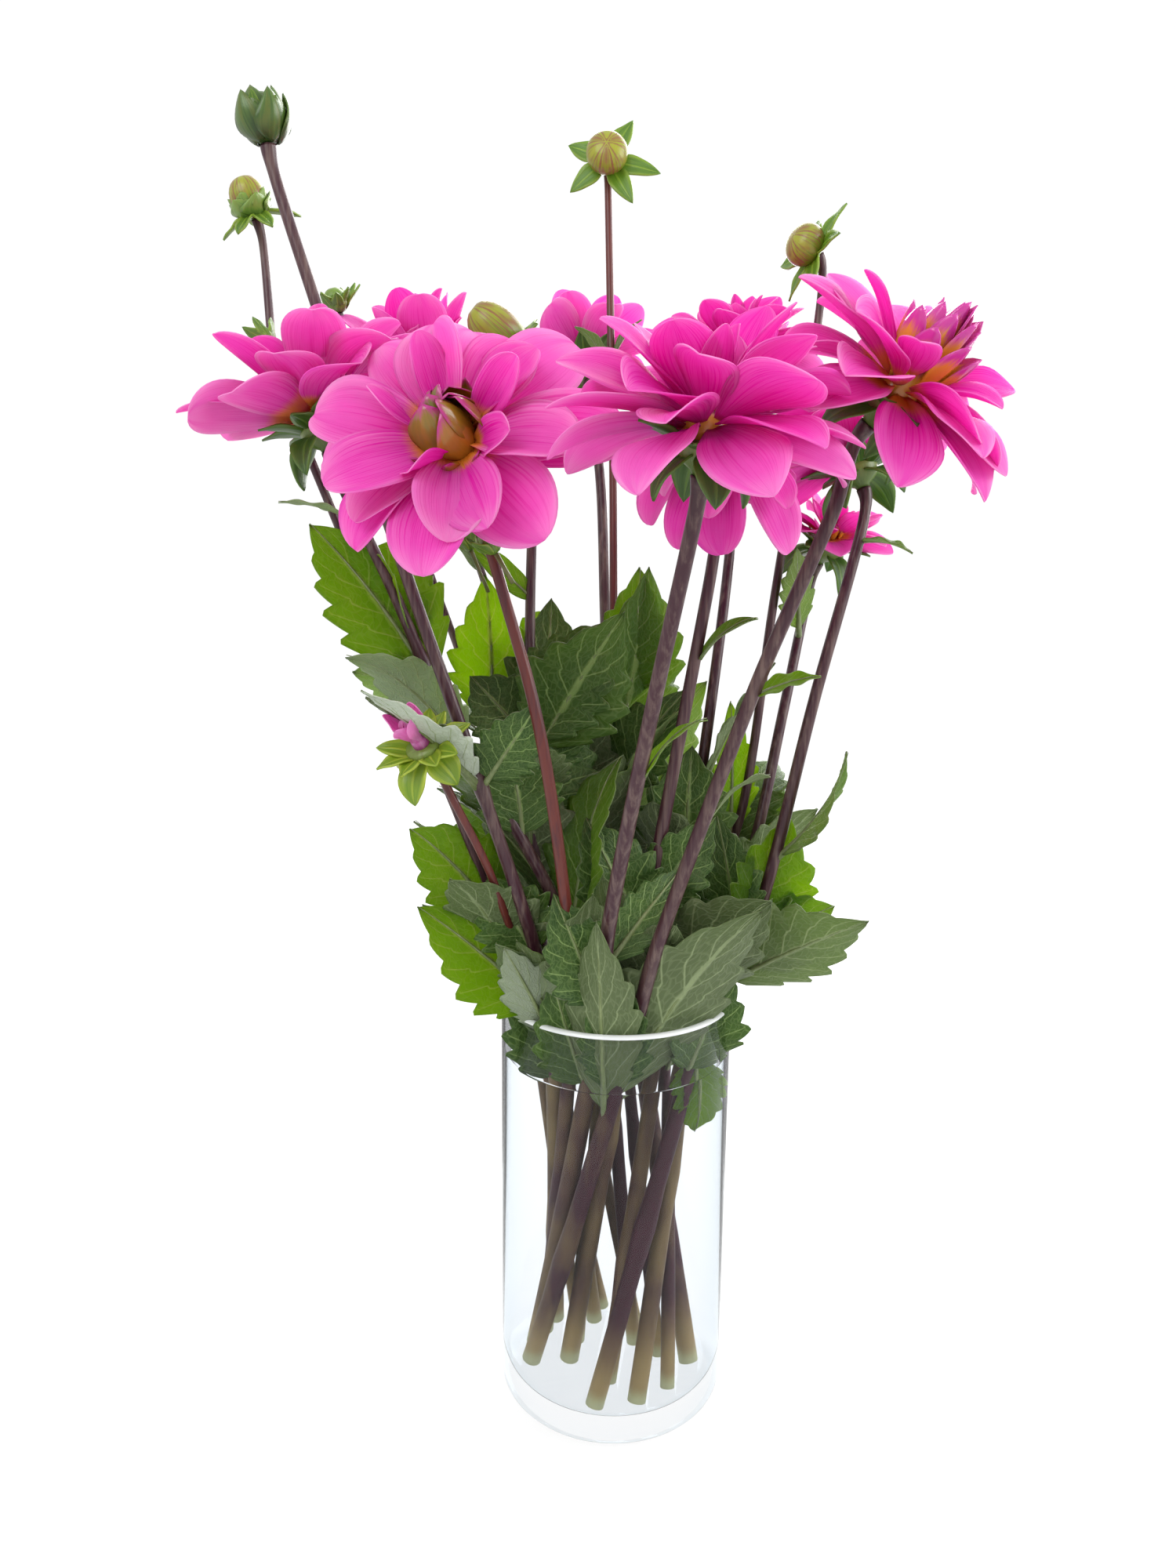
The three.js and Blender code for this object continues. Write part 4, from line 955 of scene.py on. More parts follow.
def wet_finish(name, bark, olive, cut):
    """A stem under water: dark with olive patches, pale towards the foot where it was cut."""
    finish = Finish(name)
    point, x, y, z = finish.place()
    streak = finish.noise(finish.vector(x * 130.0, y * 130.0, z * 9.0), 1.0, 3.0)
    patch = finish.noise(point, 22.0)
    share = patch.ramped(0.4, 0.65) * 0.35 + (streak - 0.5) * 1.1 + (finish.own_value() - 0.36) * 1.1
    colour = finish.mixed(bark, olive, share.clamped())
    foot = (z + (patch - 0.5) * 0.03).ramped(0.016, 0.06)
    colour = finish.mixed([1.5 * c for c in olive], colour, foot)
    end = (z + (streak - 0.5) * 0.006).ramped(0.0135, 0.024)
    return finish.surface(
        finish.mixed(cut, colour, end),
        Roughness=0.5,
        Normal=finish.bump(streak, 0.1, 0.0004),
        **{"Specular IOR Level": 0.2},
    )


def bract_finish(name, dark, light, glow):
    """Green bracts with faint lines along them and paler edges."""
    finish = BladeFinish(name)
    across, along, _ = finish.blade_place
    lines = finish.blade_noise(9.0, 1.5, 40.0)
    edge = abs(across).ramped(0.55, 1.0)
    rib = 1.0 - abs(across).ramped(0.04, 0.16)
    share = edge * 0.5 + rib * 0.5 + (lines - 0.5) * 0.8 + (1.0 - along) * 0.25
    return finish.surface(
        finish.mixed(dark, light, share.clamped()),
        glow=glow,
        share=0.25,
        Roughness=0.34,
        Normal=finish.bump(lines + rib, 0.4, 0.0005),
    )


def skin_finish(name, low, high, blush):
    """A bud's or cup's skin: lines that run up it, and a blush near its top."""
    finish = BladeFinish(name)
    _, along, _ = finish.blade_place
    lines = finish.blade_noise(7.0, 1.2, 60.0, detail=3.0)
    patch = finish.blade_noise(2.5, 1.5, 90.0)
    colour = finish.mixed(low, high, (along * 0.9 + (lines - 0.5) * 2.0).clamped())
    tinge = patch.ramped(0.42, 0.62) * along.ramped(0.1, 0.45) + (lines - 0.5) * 1.2
    colour = finish.mixed(colour, blush, tinge.clamped() * 0.8)
    return finish.surface(
        colour, glow=high, share=0.15, Roughness=0.3, Normal=finish.bump(lines, 0.25, 0.0004)
    )


def heart_finish(name, olive, orange, purple, tinged):
    """The glossy scales and florets in a flower's middle, purple at their tips and edges."""
    finish = BladeFinish(name)
    across, along, own = finish.blade_place
    lines = finish.blade_noise(5.0, 1.2, 60.0, detail=3.0)
    colour = finish.mixed(olive, orange, (own * 1.3 - 0.2 + (lines - 0.5) * 0.8).clamped())
    tip = (along + abs(across) * 0.15 + (lines - 0.5) * 0.3).ramped(tinged, tinged + 0.2)
    colour = finish.mixed(colour, purple, tip)
    return finish.surface(
        colour, glow=orange, share=0.2, Roughness=0.22, Normal=finish.bump(lines, 0.2, 0.0004),
        **{"Coat Weight": 0.3},
    )


# ---- building tools


def only(*objects):
    """Selects these objects and nothing else."""
    bpy.ops.object.select_all(action="DESELECT")
    for item in objects:
        item.select_set(True)
    bpy.context.view_layer.objects.active = objects[0]


def added(name, data):
    """A new object in the scene that holds this data."""
    item = bpy.data.objects.new(name, data)
    bpy.context.collection.objects.link(item)
    return item


def weld(item, distance):
    """Merges an item's points that are nearer to each other than a distance in metres."""
    only(item)
    bpy.ops.object.mode_set(mode="EDIT")
    bpy.ops.mesh.select_all(action="SELECT")
    bpy.ops.mesh.remove_doubles(threshold=distance)
    bpy.ops.object.mode_set(mode="OBJECT")


def set_own(mesh, value):
    """Gives all of a mesh the value that sets its colour apart."""
    attribute = mesh.attributes.get("own") or mesh.attributes.new("own", "FLOAT", "POINT")
    attribute.data.foreach_set("value", [value] * len(mesh.vertices))


def apply_modifiers(item):
    """Makes an item's modifiers part of its mesh, in their order."""
    only(item)
    for modifier in list(item.modifiers):
        bpy.ops.object.modifier_apply(modifier=modifier.name)


def dress(item, materials, index=None):
    """Gives an item its materials, and every face the one at an index."""
    for material in materials:
        item.data.materials.append(material)
    if index is not None:
        item.data.polygons.foreach_set("material_index", [index] * len(item.data.polygons))
    return item


def settle(item, name, replaced=None):
    """Names a finished piece, hides any part that it stands for, and hangs it under the body."""
    item.name = item.data.name = name
    if replaced:
        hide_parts(replaced)
    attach(item, "root")


def grid(columns, rows, crowd):
    """A flat sheet of faces that a blade is shaped from. Its UV map is the place on the blade."""
    bpy.ops.mesh.primitive_grid_add(x_subdivisions=columns, y_subdivisions=rows, size=1)
    sheet = bpy.context.active_object
    places = sheet.data.uv_layers.active.data
    for loop in sheet.data.loops:
        row, column = divmod(loop.vertex_index, columns + 1)
        places[loop.index].uv = (column / columns, row_share(row, rows, crowd))
    return sheet


def shaped(sheet, columns, rows, blade, crowd):
    """A copy of the flat sheet, bent into a blade."""
    mesh = sheet.data.copy()
    mesh.vertices.foreach_set("co", [c for point in blade.vertices(columns, rows, crowd) for c in point])
    set_own(mesh, blade.own)
    return added("blade", mesh)


def grown(blades, cells, thickness, materials, crowd=1):
    """All the blades of one head or leaf pair as one piece, with their thickness.

    The upper side has the first material and the underside has the last.
    """
    columns, rows = cells
    sheet = dress(grid(columns, rows, crowd), materials, 0)
    items = [shaped(sheet, columns, rows, blade, crowd) for blade in blades]
    bpy.data.objects.remove(sheet)
    only(*items)
    if len(items) > 1:
        bpy.ops.object.join()
    piece = bpy.context.active_object
    weld(piece, BLADE_WELD)
    wall = piece.modifiers.new("thickness", "SOLIDIFY")
    wall.thickness = thickness
    wall.offset = -1
    wall.material_offset = wall.material_offset_rim = 1
    apply_modifiers(piece)
    bpy.ops.object.shade_smooth()
    return piece


def tube(points, radii, sides, own=0.5):
    """A round rod along a line, with its own radius at each point, closed at both ends."""
    curve = bpy.data.curves.new("rod", "CURVE")
    curve.dimensions = "3D"
    curve.bevel_depth = 1
    curve.bevel_resolution = max(0, sides // 2 - 2)
    curve.use_fill_caps = True
    spline = curve.splines.new("POLY")
    spline.points.add(len(points) - 1)
    for place, point, radius in zip(spline.points, points, radii):
        place.co = (*(point * MM), 1)
        place.radius = radius * MM
    only(added("rod", curve))
    bpy.ops.object.convert(target="MESH")
    item = bpy.context.active_object
    weld(item, ROD_WELD)
    set_own(item.data, own)
    bpy.ops.object.shade_smooth()
    return item


def turned(profile, origin, head, sides=32):
    """A solid of revolution about a head's axis, from radii and heights that start and end on it."""
    work = bmesh.new()
    verts = [work.verts.new((radius, 0, height)) for radius, height in profile]
    edges = [work.edges.new(pair) for pair in zip(verts, verts[1:])]
    bmesh.ops.spin(
        work, geom=verts + edges, cent=(0, 0, 0), axis=(0, 0, 1), dvec=(0, 0, 0),
        angle=TURN, steps=sides, use_merge=True, use_normal_flip=False, use_duplicate=False,
    )
    bmesh.ops.remove_doubles(work, verts=work.verts[:], dist=1e-4)
    bmesh.ops.recalc_face_normals(work, faces=work.faces[:])
    layer = work.loops.layers.uv.new("UVMap")
    low = min(height for _, height in profile)
    high = max(height for _, height in profile)
    for face in work.faces:
        for loop in face.loops:
            x, y, z = loop.vert.co
            loop[layer].uv = (0.5 + 0.5 * sin(3 * atan2(y, x)), (z - low) / (high - low))
    turn = Matrix(head).transposed()
    for vert in work.verts:
        vert.co = (origin + turn @ vert.co) * MM
    mesh = bpy.data.meshes.new("turned")
    work.to_mesh(mesh)
    work.free()
    set_own(mesh, 0.5)
    item = added("turned", mesh)
    only(item)
    bpy.ops.object.shade_smooth()
    return item


def egg(origin, head, radius, height, steps=14):
    """A smooth egg that stands on its origin."""
    profile = [(0, SEAT)]
    for i in range(1, steps):
        angle = pi * i / steps
        profile.append((radius * sin(angle) ** 0.85, height / 2 * (1 - cos(angle))))
    return turned([*profile, (0, height * 0.99)], origin, head)


def joined(*items):
    """Several items as one."""
    only(*items)
    bpy.ops.object.join()
    return bpy.context.active_object


# ---- settings


def tint(name, description, *colour):
    """A colour that a user may change."""
    return FloatVectorProperty(name=name, description=description, default=colour, subtype="COLOR")


def measure(name, description, metres):
    """A size that a user may change."""
    return FloatProperty(name=name, description=description, default=metres, unit="LENGTH")


def lamp_power(name, description, watts):
    """A lamp's power that a user may change."""
    return FloatProperty(name=name, description=description, default=watts, subtype="POWER")


class JarSettings(bpy.types.PropertyGroup):
    radius: measure("Radius", "Outer radius of the jar", 0.06)
    height: measure("Height", "Height of the jar", 0.222)
    wall: measure("Wall", "Thickness of the glass", 0.004)
    base: measure("Base", "Thickness of the base", 0.013)
    level: measure("Water level", "Height of the water", 0.19)
    glass: tint("Glass", "Tint of the glass", 0.905, 0.916, 0.928)
    # The edge tint is the glass's own tint in the thick base, and painted shade at the jar's sides.
    edge: tint("Edge", "Tint where the glass is thick", 0.79, 0.85, 0.89)
    water: tint("Water", "Tint of the water", 0.955, 0.97, 0.98)


class StemSettings(bpy.types.PropertyGroup):
    bark: tint("Stem", "Dark stem colour", 0.042, 0.011, 0.019)
    bloom: tint("Bloom", "Grey mauve on the stem", 0.175, 0.12, 0.1)
    red: tint("Red stem", "Colour of the reddest stem", 0.115, 0.022, 0.016)
    wet: tint("Under water", "Olive under water", 0.2, 0.145, 0.06)
    cut: tint("Cut end", "Pale cut foot", 0.5, 0.52, 0.3)
    sides: IntProperty(name="Sides", description="Faces round a stem", default=14, min=6, max=32)


class PetalSettings(bpy.types.PropertyGroup):
    light: tint("Pink", "Main petal colour", 0.83, 0.125, 0.6)
    edge: tint("Edge", "Colour of the edges", 0.93, 0.44, 0.8)
    # Magenta is the colour of the veins and also the painted shade towards the flower's middle.
    deep: tint("Magenta", "Colour of the veins", 0.8, 0.012, 0.48)
    claw: tint("Claw", "Colour at the foot", 0.9, 0.36, 0.03)
    glow: tint("Glow", "Light through a petal", 0.93, 0.11, 0.64)
    thickness: measure("Thickness", "Thickness of a petal", 0.0005)


class LeafSettings(bpy.types.PropertyGroup):
    # The dark and light upper colours are painted shade and painted light: each leaf is mixed between them
    # by how bright it is.
    dark: tint("Leaf", "Dark upper colour", 0.022, 0.055, 0.014)
    light: tint("Light leaf", "Light upper colour", 0.09, 0.17, 0.025)
    vein: tint("Veins", "Colour of the veins", 0.26, 0.38, 0.12)
    under: tint("Underside", "Colour below", 0.14, 0.19, 0.08)
    under_vein: tint("Veins below", "Colour of the veins below", 0.3, 0.37, 0.19)
    pale: tint("Pale leaf", "Colour of pale leaves below", 0.5, 0.56, 0.46)
    glow: tint("Glow", "Light through a leaf", 0.5, 0.72, 0.035)
    thickness: measure("Thickness", "Thickness of a leaf", 0.0005)


class StageSettings(bpy.types.PropertyGroup):
    floor: tint("Floor", "Colour of the floor", 0.1, 0.1, 0.1)
    glow: FloatProperty(name="Glow", description="Light that floor and backdrop give", default=0.88)
    sky: FloatProperty(name="Surround", description="Strength of the light all round", default=0.96)
    key: lamp_power("Key light", "Power of the lights in front and beside", 17.0)
    back: lamp_power("Back light", "Power of the light behind", 50.0)


# ---- pieces


class DAHLIAS_OT_stage(bpy.types.Operator):
    """Sets up the white floor and backdrop, the soft lights and the camera"""

    bl_idname = "dahlias.stage"
    bl_label = "Stage"

    def execute(self, context):
        settings = context.scene.dahlia_stage
        bpy.ops.object.select_all(action="DESELECT")
        bpy.ops.mesh.primitive_plane_add(size=FLOOR_SIZE, location=(0, 0, 0))
        floor_piece = context.active_object
        bpy.ops.object.mode_set(mode="EDIT")
        bpy.ops.mesh.select_all(action="DESELECT")
        bpy.ops.object.mode_set(mode="OBJECT")
        for edge in floor_piece.data.edges:
            edge.select = all(floor_piece.data.vertices[i].co.y > 0 for i in edge.vertices)
        bpy.ops.object.mode_set(mode="EDIT")
        bpy.ops.mesh.extrude_region_move(TRANSFORM_OT_translate={"value": (0, 0, BACKDROP_HEIGHT)})
        bpy.ops.object.mode_set(mode="OBJECT")
        bend = floor_piece.modifiers.new("bend", "BEVEL")
        bend.width, bend.segments = BACKDROP_BEND, 12
        apply_modifiers(floor_piece)
        bpy.ops.object.shade_smooth()
        finish = Finish("white backdrop")
        material = finish.surface(
            settings.floor,
            Roughness=0.6,
            **{"Emission Color": (1, 1, 1, 1), "Emission Strength": settings.glow},
        )
        floor_piece.name = "backdrop"
        floor_piece.data.materials.append(material)

        world = bpy.data.worlds.new("surround")
        world.use_nodes = True
        background = world.node_tree.nodes["Background"]
        background.inputs["Color"].default_value = (1, 1, 1, 1)
        background.inputs["Strength"].default_value = settings.sky
        context.scene.world = world

        for name, (setting, width, place, aim) in LAMPS.items():
            light = bpy.data.lights.new(name, "AREA")
            light.energy, light.size = getattr(settings, setting), width
            lamp = added(name, light)
            lamp.location = place
            lamp.rotation_euler = (Vector(aim) - Vector(place)).to_track_quat("-Z", "Y").to_euler()

        camera = bpy.data.cameras.new("camera")
        camera.sensor_fit = "VERTICAL"
        camera.sensor_height = SENSOR_HEIGHT
        camera.lens = LENS
        camera.clip_start = 0.01
        viewer = added("camera", camera)
        viewer.matrix_world = (
            Matrix.Translation(CAMERA_PLACE)
            @ Matrix.Rotation(radians(CAMERA_TILT), 4, "X")
            @ Matrix.Rotation(radians(CAMERA_ROLL), 4, "Z")
        )
        context.scene.camera = viewer
        context.scene.view_settings.view_transform = "Standard"
        return {"FINISHED"}


def vessel(profile, name):
    """A jar or the water in it, spun from its profile in metres."""
    work = bmesh.new()
    verts = [work.verts.new((radius, 0, height)) for radius, height in profile]
    for pair in zip(verts, verts[1:]):
        work.edges.new(pair)
    mesh = bpy.data.meshes.new(name)
    work.to_mesh(mesh)
    work.free()
    item = added(name, mesh)
    only(item)
    bpy.ops.object.mode_set(mode="EDIT")
    bpy.ops.mesh.select_all(action="SELECT")
    bpy.ops.mesh.spin(steps=96, angle=TURN, center=(0, 0, 0), axis=(0, 0, 1))
    bpy.ops.mesh.select_all(action="SELECT")
    bpy.ops.mesh.remove_doubles(threshold=VESSEL_WELD)
    bpy.ops.mesh.normals_make_consistent(inside=False)
    bpy.ops.object.mode_set(mode="OBJECT")
    bpy.ops.object.shade_smooth_by_angle(angle=radians(40))
    return item


def quarter(x, z, radius, start, end, steps=6):
    """Points on a quarter circle."""
    angles = [start + (end - start) * i / steps for i in range(steps + 1)]
    return [(x + radius * cos(a), z + radius * sin(a)) for a in angles]


class DAHLIAS_OT_jar(bpy.types.Operator):
    """Spins the clear glass jar with its thick base and rounded rim, whose lip carries a painted highlight
    """

    bl_idname = "dahlias.jar"
    bl_label = "Glass jar"

    def execute(self, context):
        s = context.scene.dahlia_jar
        inner = s.radius - s.wall
        profile = [
            (0, 0),
            *quarter(s.radius - CORNER, CORNER, CORNER, -pi / 2, 0),
            *quarter(s.radius - LIP, s.height - LIP, LIP, 0, pi / 2, 4),
            *quarter(inner + LIP, s.height - LIP, LIP, pi / 2, pi, 4),
            *quarter(inner - CORNER, s.base + CORNER, CORNER, 0, -pi / 2),
            (0, s.base),
        ]
        item = vessel(profile, "glass_jar")
        finish = Finish("clear glass")
        point, _, _, z = finish.place()
        ripple = finish.noise(point, 22.0, 1.0)
        # Where the glass turns away from the view it takes the edge tint: painted shade in place of the
        # refraction at the jar's sides. In the thick base the same tint is the glass's own.
        edge = finish.node("ShaderNodeLayerWeight", {}, {"Blend": 0.5}, output="Facing").ramped(0.3, 1.0)
        base = 1.0 - z.ramped(s.base * 0.6, s.base * 1.6)
        material = finish.surface(
            finish.mixed(s.glass, s.edge, (edge * 0.8 + base * 0.25).clamped()),
            Roughness=0.0,
            Normal=finish.bump(ripple, 0.04, 0.0004),
            IOR=1.05,
            **{"Transmission Weight": 1.0, "Coat Weight": 0.25, "Coat Roughness": 0.02},
        )
        # The lip has a whitish, half opaque finish: a painted highlight along the rim.
        rim = Finish("bright rim")
        bright = rim.surface(
            (0.93, 0.95, 0.96),
            Roughness=0.12,
            IOR=1.45,
            **{"Transmission Weight": 0.3, "Coat Weight": 0.5},
        )
        dress(item, [material, bright])
        # Faces at the top of the lip take the painted highlight.
        for face in item.data.polygons:
            face.material_index = 1 if face.center.z > s.height - LIP * 1.6 else 0
        settle(item, "glass_jar", "jar")
        return {"FINISHED"}


class DAHLIAS_OT_water(bpy.types.Operator):
    """Fills the jar with clear water up to its level"""

    bl_idname = "dahlias.water"
    bl_label = "Water"

    def execute(self, context):
        s = context.scene.dahlia_jar
        radius = s.radius - s.wall + WET_OVERLAP
        base = s.base - WET_OVERLAP
        profile = [
            (0, base),
            *quarter(radius - CORNER, base + CORNER, CORNER, -pi / 2, 0),
            (radius, s.level + CREEP),
            (radius - 0.0007, s.level + CREEP * 0.4),
            (radius - 0.002, s.level),
            (0, s.level),
        ]
        item = vessel(profile, "still_water")
        finish = Finish("clear water")
        point, *_ = finish.place()
        ripple = finish.noise(point, 30.0, 1.0)
        material = finish.surface(
            s.water,
            Roughness=0.0,
            Normal=finish.bump(ripple, 0.03, 0.0004),
            IOR=1.04,
            **{"Transmission Weight": 1.0},
        )
        settle(dress(item, [material]), "still_water", "water")
        return {"FINISHED"}


class DAHLIAS_OT_stems(bpy.types.Operator):
    """Draws the long smooth stems with their swollen nodes"""

    bl_idname = "dahlias.stems"
    bl_label = "Stems"

    def execute(self, context):
        s = context.scene.dahlia_stem
        plain = stem_finish("dark stem", s.bark, s.bloom)
        reddish = stem_finish("reddish stem", s.red, s.bark)
        soaked = wet_finish("stem under water", s.bark, s.wet, s.cut)
        level = context.scene.dahlia_jar.level
        nodes = {}
        for name, z, _ in LEAF_PAIRS:
            nodes.setdefault(name, []).append(z)
        for name in STEMS:
            line = eased_top(smooth_line(stem_points(name), 10))
            sunk = SUNK_NODE + SUNK_SPREAD * wobble(STEMS[name][0] + STEMS[name][1][0])
            joints = [*nodes.get(name, []), sunk]
            top = line[-1]
            radii = []
            for point in line:
                swell = sum(NODE_SWELL * exp(-(((point.z - z) / NODE_REACH) ** 2)) for z in joints)
                flare = NECK_SWELL * exp(-(((point - top).length / NECK_REACH) ** 2))
                thick = 1 + LOW_SWELL * min(1, max(0, (LOW_TOP - point.z) / LOW_REACH))
                radii.append(stem_radius(name, point.z) * (thick + swell + flare))
            item = tube(line, radii, s.sides, own=(wobble(STEMS[name][1][0]) + 1) / 2)
            dress(item, [reddish if name in RED_STEMS else plain, soaked])
            for face in item.data.polygons:
                face.material_index = 1 if face.center.z < level else 0
            settle(item, f"fine_stem_{name}", f"stem_{name}")
        return {"FINISHED"}


class DAHLIAS_OT_calyxes(bpy.types.Operator):
    """Makes the green cups under the blooms, with their bent-back bracts"""

    bl_idname = "dahlias.calyxes"
    bl_label = "Calyxes"

    def execute(self, context):
        green = bract_finish("bract green", (0.035, 0.09, 0.015), (0.15, 0.27, 0.04), (0.3, 0.5, 0.03))
        young = bract_finish("young bract", (0.14, 0.26, 0.015), (0.5, 0.58, 0.06), (0.6, 0.72, 0.06))
        cup_skin = skin_finish("cup green", (0.09, 0.15, 0.03), (0.2, 0.28, 0.05), (0.16, 0.2, 0.04))
        for name, (_, _, seed, _) in BLOOMS.items():
            radius, _, _, end, face = STEMS[name]
            head = head_frame(face)
            origin = Vector(end) + head[2] * GAP
            scale = OPENING_SCALE if name == "opening" else 1
            foot, wide = radius * (1 - TAPER) * 1.15, 10 * scale
            profile = [
                (0, SEAT), (foot, SEAT), (foot * 1.25, 1.5), (wide * 0.78, 4.2), (wide * 0.97, 7.5),
                (wide, 10), (wide * 0.94, CUP_HEIGHT), (0, CUP_HEIGHT),
            ]
            finishes = [young if name == "opening" else green, cup_skin]
            cup = dress(turned(profile, origin, head), finishes, 1)
            outer = bract_blades(origin, head, seed, 4, 26 * scale, 13, 5 * scale, 7, -0.25, -1.3)
            inner = bract_blades(origin, head, seed + 7, 9, 21 * scale, 9, 6 * scale, 8.5, 0.5, -0.45)
            leaves = grown(outer + inner, BRACT_GRID, BRACT_WALL, [finishes[0], finishes[0]])
            settle(joined(leaves, cup), f"fine_calyx_{name}", f"calyx_{name}")
        return {"FINISHED"}


class DAHLIAS_OT_blooms(bpy.types.Operator):
    """Grows the pink blooms, petal by petal, round their hearts"""

    bl_idname = "dahlias.blooms"
    bl_label = "Blooms"

    def execute(self, context):
        s = context.scene.dahlia_petal
        finishes = {
            "warm": petal_finish("warm petal", s, 0.16),
            "deep": petal_finish("deep petal", s, -0.1),
            "pale": petal_finish("pale petal", s, -0.3, 0.6),
        }
        hearts = {
            "scales": ((0.16, 0.15, 0.012), (0.5, 0.2, 0.02), (0.5, 0.02, 0.24), 0.86),
            "florets": ((0.72, 0.36, 0.05), (0.82, 0.34, 0.04), (0.6, 0.04, 0.36), 0.66),
        }
        hearts = {name: heart_finish(name, *colours) for name, colours in hearts.items()}
        for name, (layers, size, seed, kind) in BLOOMS.items():
            _, _, _, end, face = STEMS[name]
            head = head_frame(face)
            origin = Vector(end) + head[2] * (CUP_HEIGHT + 2 * GAP)
            outline = round_petal if layers in ROUND_PETALS else petal_outline
            outer = OWN_LAYERS.get(name, LAYERS[layers])
            inner = INNER_LAYERS[layers]
            if name in OPEN_HEARTS:
                inner = inner[:1]
            blades = petal_blades(origin, head, outer, size, seed, outline)
            blades += petal_blades(origin, head, inner, size, seed + 17, outline, first_row=INNER_ROW)
            petals = grown(blades, PETAL_GRID, s.thickness, [finishes[kind]] * 2, crowd=1.6)

            scale = size * (OPENING_SCALE if name == "opening" else 1)
            form = HEART_KINDS.get(name, "closed")
            wide, tall, rings = HEARTS[form]
            wide, tall = wide * scale, tall * scale
            profile = [
                (0, SEAT), (wide, SEAT), (wide, 3), (wide * 0.85, tall * 0.6), (wide * 0.4, tall * 0.95),
                (0, tall),
            ]
            heart = hearts["scales" if form == "egg" else "florets"]
            if kind == "pale":
                heart = finishes[kind]
            core = dress(turned(profile, origin, head), [heart])
            wrapped = heart_blades(origin, head, rings, scale, seed)
            scales = grown(wrapped, SCALE_GRID, s.thickness, [heart] * 2)
            settle(joined(petals, core, scales), f"fine_bloom_{name}", f"bloom_{name}")
        return {"FINISHED"}


class DAHLIAS_OT_buds(bpy.types.Operator):
    """Makes the closed buds with their green bracts"""

    bl_idname = "dahlias.buds"
    bl_label = "Buds"

    def execute(self, context):
        leafy = bract_finish("bud bract", (0.06, 0.14, 0.015), (0.32, 0.45, 0.05), (0.42, 0.66, 0.04))
        skins = {
            "dark": ((0.03, 0.07, 0.012), (0.09, 0.17, 0.03), (0.1, 0.13, 0.02)),
            "green": ((0.1, 0.2, 0.03), (0.2, 0.33, 0.05), (0.2, 0.28, 0.05)),
            "blushed": ((0.13, 0.22, 0.015), (0.36, 0.38, 0.03), (0.24, 0.04, 0.05)),
        }
        skins = {name: skin_finish(f"bud {name}", *colours) for name, colours in skins.items()}
        for name, (radius, height, count, reach, spread, wrap, seed, kind, face) in BUDS.items():
            head = head_frame(face)
            origin = Vector(STEMS[name][3]) + head[2] * GAP
            ball = dress(egg(origin, head, radius * (0.9 if wrap else 1), height), [skins[kind]])
            bracts = bract_blades(
                origin, head, seed, count, reach, reach * 0.42, radius * 0.35, height * 0.12,
                pi / 2 - spread, 0.25 if spread < 1.2 else -0.2,
            )
            parts = [grown(bracts, BRACT_GRID, BRACT_WALL, [leafy] * 2), ball]
            if wrap:
                scales = scale_blades(origin, head, radius, height, wrap, seed)
                skin = skins["dark" if kind == "dark" else "green"]
                parts.append(grown(scales, SCALE_GRID, SCALE_WALL, [skin] * 2))
            settle(joined(*parts), f"fine_bud_{name}", f"bud_{name}")
        stalk = stem_finish("side stalk", (0.1, 0.12, 0.03), (0.2, 0.16, 0.08))
        for i, (start, end, radius, height) in enumerate(SIDE_BUDS, 1):
            start, end = Vector(start), Vector(end)
            head = head_frame(end - start)
            rod = dress(tube([start, start.lerp(end, 0.5), end], [1, 0.9, 1.2], 8), [stalk])
            ball = dress(egg(end, head, radius, height), [skins["green"]])
            seed = 211 + 7 * i
            bracts = bract_blades(
                end, head, seed, 6, height * 1.1, radius * 1.1, radius * 0.4, 1, 0.9, 0.2
            )
            collar = grown(bracts, SMALL_GRID, SMALL_WALL, [leafy] * 2)
            settle(joined(collar, ball, rod), f"side_bud_{i}")
        return {"FINISHED"}


def leaf_piece(blades, thickness, finishes):
    """Toothed blades with a raised rib under each."""
    ribs = []
    for blade in blades:
        thick = RIB_THICK if blade.width > LARGE_LEAF else RIB_THIN
        points, radii = [], []
        for j, (middle, _, _, lifted) in enumerate(blade.rows(RIB_STEPS)):
            left = 1 - j / RIB_STEPS
            points.append(middle - lifted * RIB_SUNK * left)
            radii.append(thick * left**1.3 + RIB_TIP)
        ribs.append(dress(tube(points, radii, 8), finishes[2:]))
    return joined(grown(blades, LEAF_GRID, thickness, finishes[:2]), *ribs)


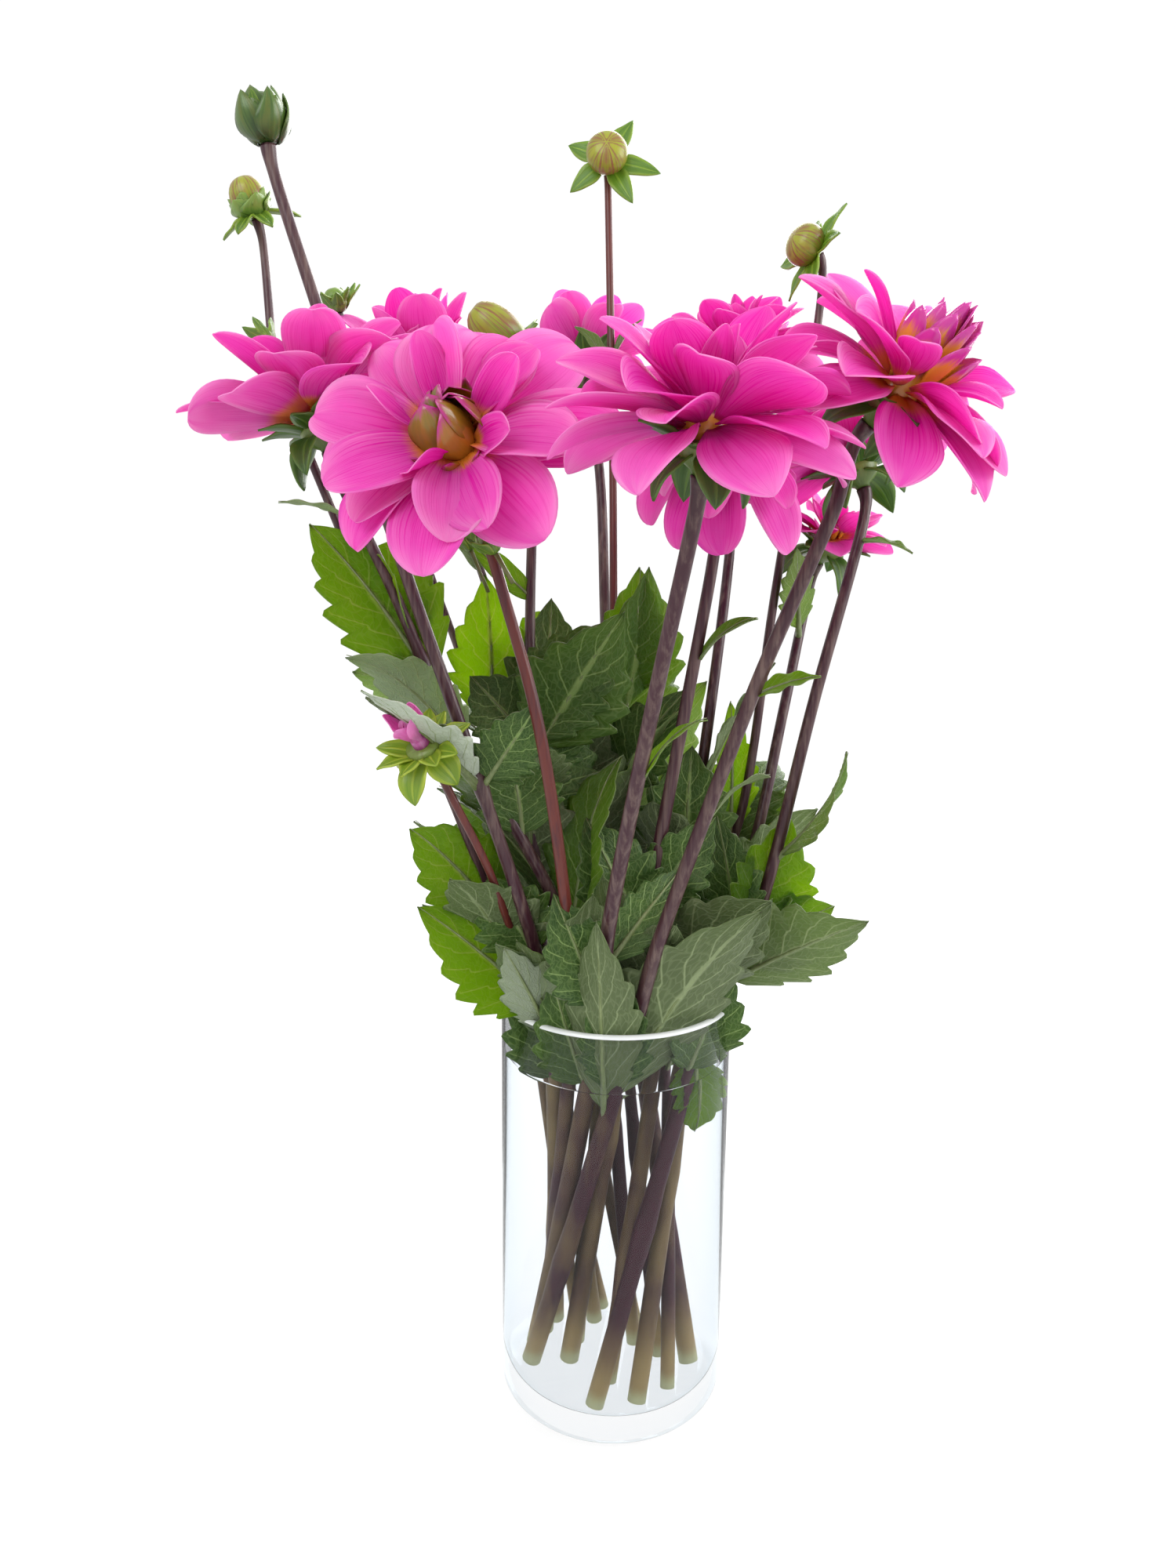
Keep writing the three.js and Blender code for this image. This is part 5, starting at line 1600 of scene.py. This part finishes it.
class DAHLIAS_OT_leaves(bpy.types.Operator):
    """Grows the toothed leaves and leaflets from their stems"""

    bl_idname = "dahlias.leaves"
    bl_label = "Leaves"

    def execute(self, context):
        s = context.scene.dahlia_leaf
        # Below, the dark colour is a darker copy of the underside: painted shade.
        below = [0.6 * c for c in s.under]
        top = leaf_finish("leaf above", (s.dark, s.light), s.light, s.vein, s.glow, 0.8, 0.7, 0.42)
        under = leaf_finish("leaf below", (below, s.under), s.pale, s.under_vein, s.glow, 0.45, 1.2, 0.5)
        rib = stem_finish("leaf rib", (0.13, 0.17, 0.06), (0.24, 0.29, 0.13))
        finishes = [top, under, rib]
        for i, (stem, z, leaves) in enumerate(LEAF_PAIRS, 1):
            blades = [leaf_blade(stem, z, *leaf) for leaf in leaves]
            item = leaf_piece(blades, s.thickness, finishes)
            settle(item, f"fine_leaves_{i}_{stem}", f"leaves_{i}_{stem}")
        for stem in dict.fromkeys(leaflet[0] for leaflet in LEAFLETS):
            blades = [leaf_blade(*leaflet) for leaflet in LEAFLETS if leaflet[0] == stem]
            item = leaf_piece(blades, s.thickness, finishes)
            settle(item, f"leaflets_{stem}", f"stem_{stem}")
        for i in range(0, len(FILLING_LEAVES), LEAVES_A_PIECE):
            blades = [filling_leaf(*leaf) for leaf in FILLING_LEAVES[i : i + LEAVES_A_PIECE]]
            item = leaf_piece(blades, s.thickness, finishes)
            settle(item, f"filling_leaves_{i // LEAVES_A_PIECE + 1}")
        return {"FINISHED"}


class DAHLIAS_PT_panel(bpy.types.Panel):
    """Lists the pieces and their settings"""

    bl_idname = "DAHLIAS_PT_panel"
    bl_label = "Dahlias in a jar"
    bl_space_type = "VIEW_3D"
    bl_region_type = "UI"
    bl_category = "Dahlias"

    def draw(self, context):
        for group, operators in PANEL_ROWS:
            box = self.layout.box()
            settings = getattr(context.scene, group)
            for key in settings.__annotations__:
                box.prop(settings, key)
            for operator in operators:
                box.operator(operator)


SETTINGS = {
    "dahlia_stage": StageSettings,
    "dahlia_jar": JarSettings,
    "dahlia_stem": StemSettings,
    "dahlia_petal": PetalSettings,
    "dahlia_leaf": LeafSettings,
}
OPERATORS = (
    DAHLIAS_OT_stage,
    DAHLIAS_OT_jar,
    DAHLIAS_OT_water,
    DAHLIAS_OT_stems,
    DAHLIAS_OT_calyxes,
    DAHLIAS_OT_blooms,
    DAHLIAS_OT_buds,
    DAHLIAS_OT_leaves,
)
PANEL_ROWS = (
    ("dahlia_stage", ("dahlias.stage",)),
    ("dahlia_jar", ("dahlias.jar", "dahlias.water")),
    ("dahlia_stem", ("dahlias.stems",)),
    ("dahlia_petal", ("dahlias.calyxes", "dahlias.blooms", "dahlias.buds")),
    ("dahlia_leaf", ("dahlias.leaves",)),
)


def register():
    for item in (*SETTINGS.values(), *OPERATORS, DAHLIAS_PT_panel):
        bpy.utils.register_class(item)
    for name, group in SETTINGS.items():
        setattr(bpy.types.Scene, name, PointerProperty(type=group))


def unregister():
    for name in SETTINGS:
        delattr(bpy.types.Scene, name)
    for item in reversed((*SETTINGS.values(), *OPERATORS, DAHLIAS_PT_panel)):
        bpy.utils.unregister_class(item)


def main():
    register()
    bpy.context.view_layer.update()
    bpy.ops.dahlias.stage()
    bpy.ops.dahlias.jar()
    bpy.ops.dahlias.water()
    bpy.ops.dahlias.stems()
    bpy.ops.dahlias.calyxes()
    bpy.ops.dahlias.blooms()
    bpy.ops.dahlias.buds()
    bpy.ops.dahlias.leaves()


if __name__ == "__main__":
    main()
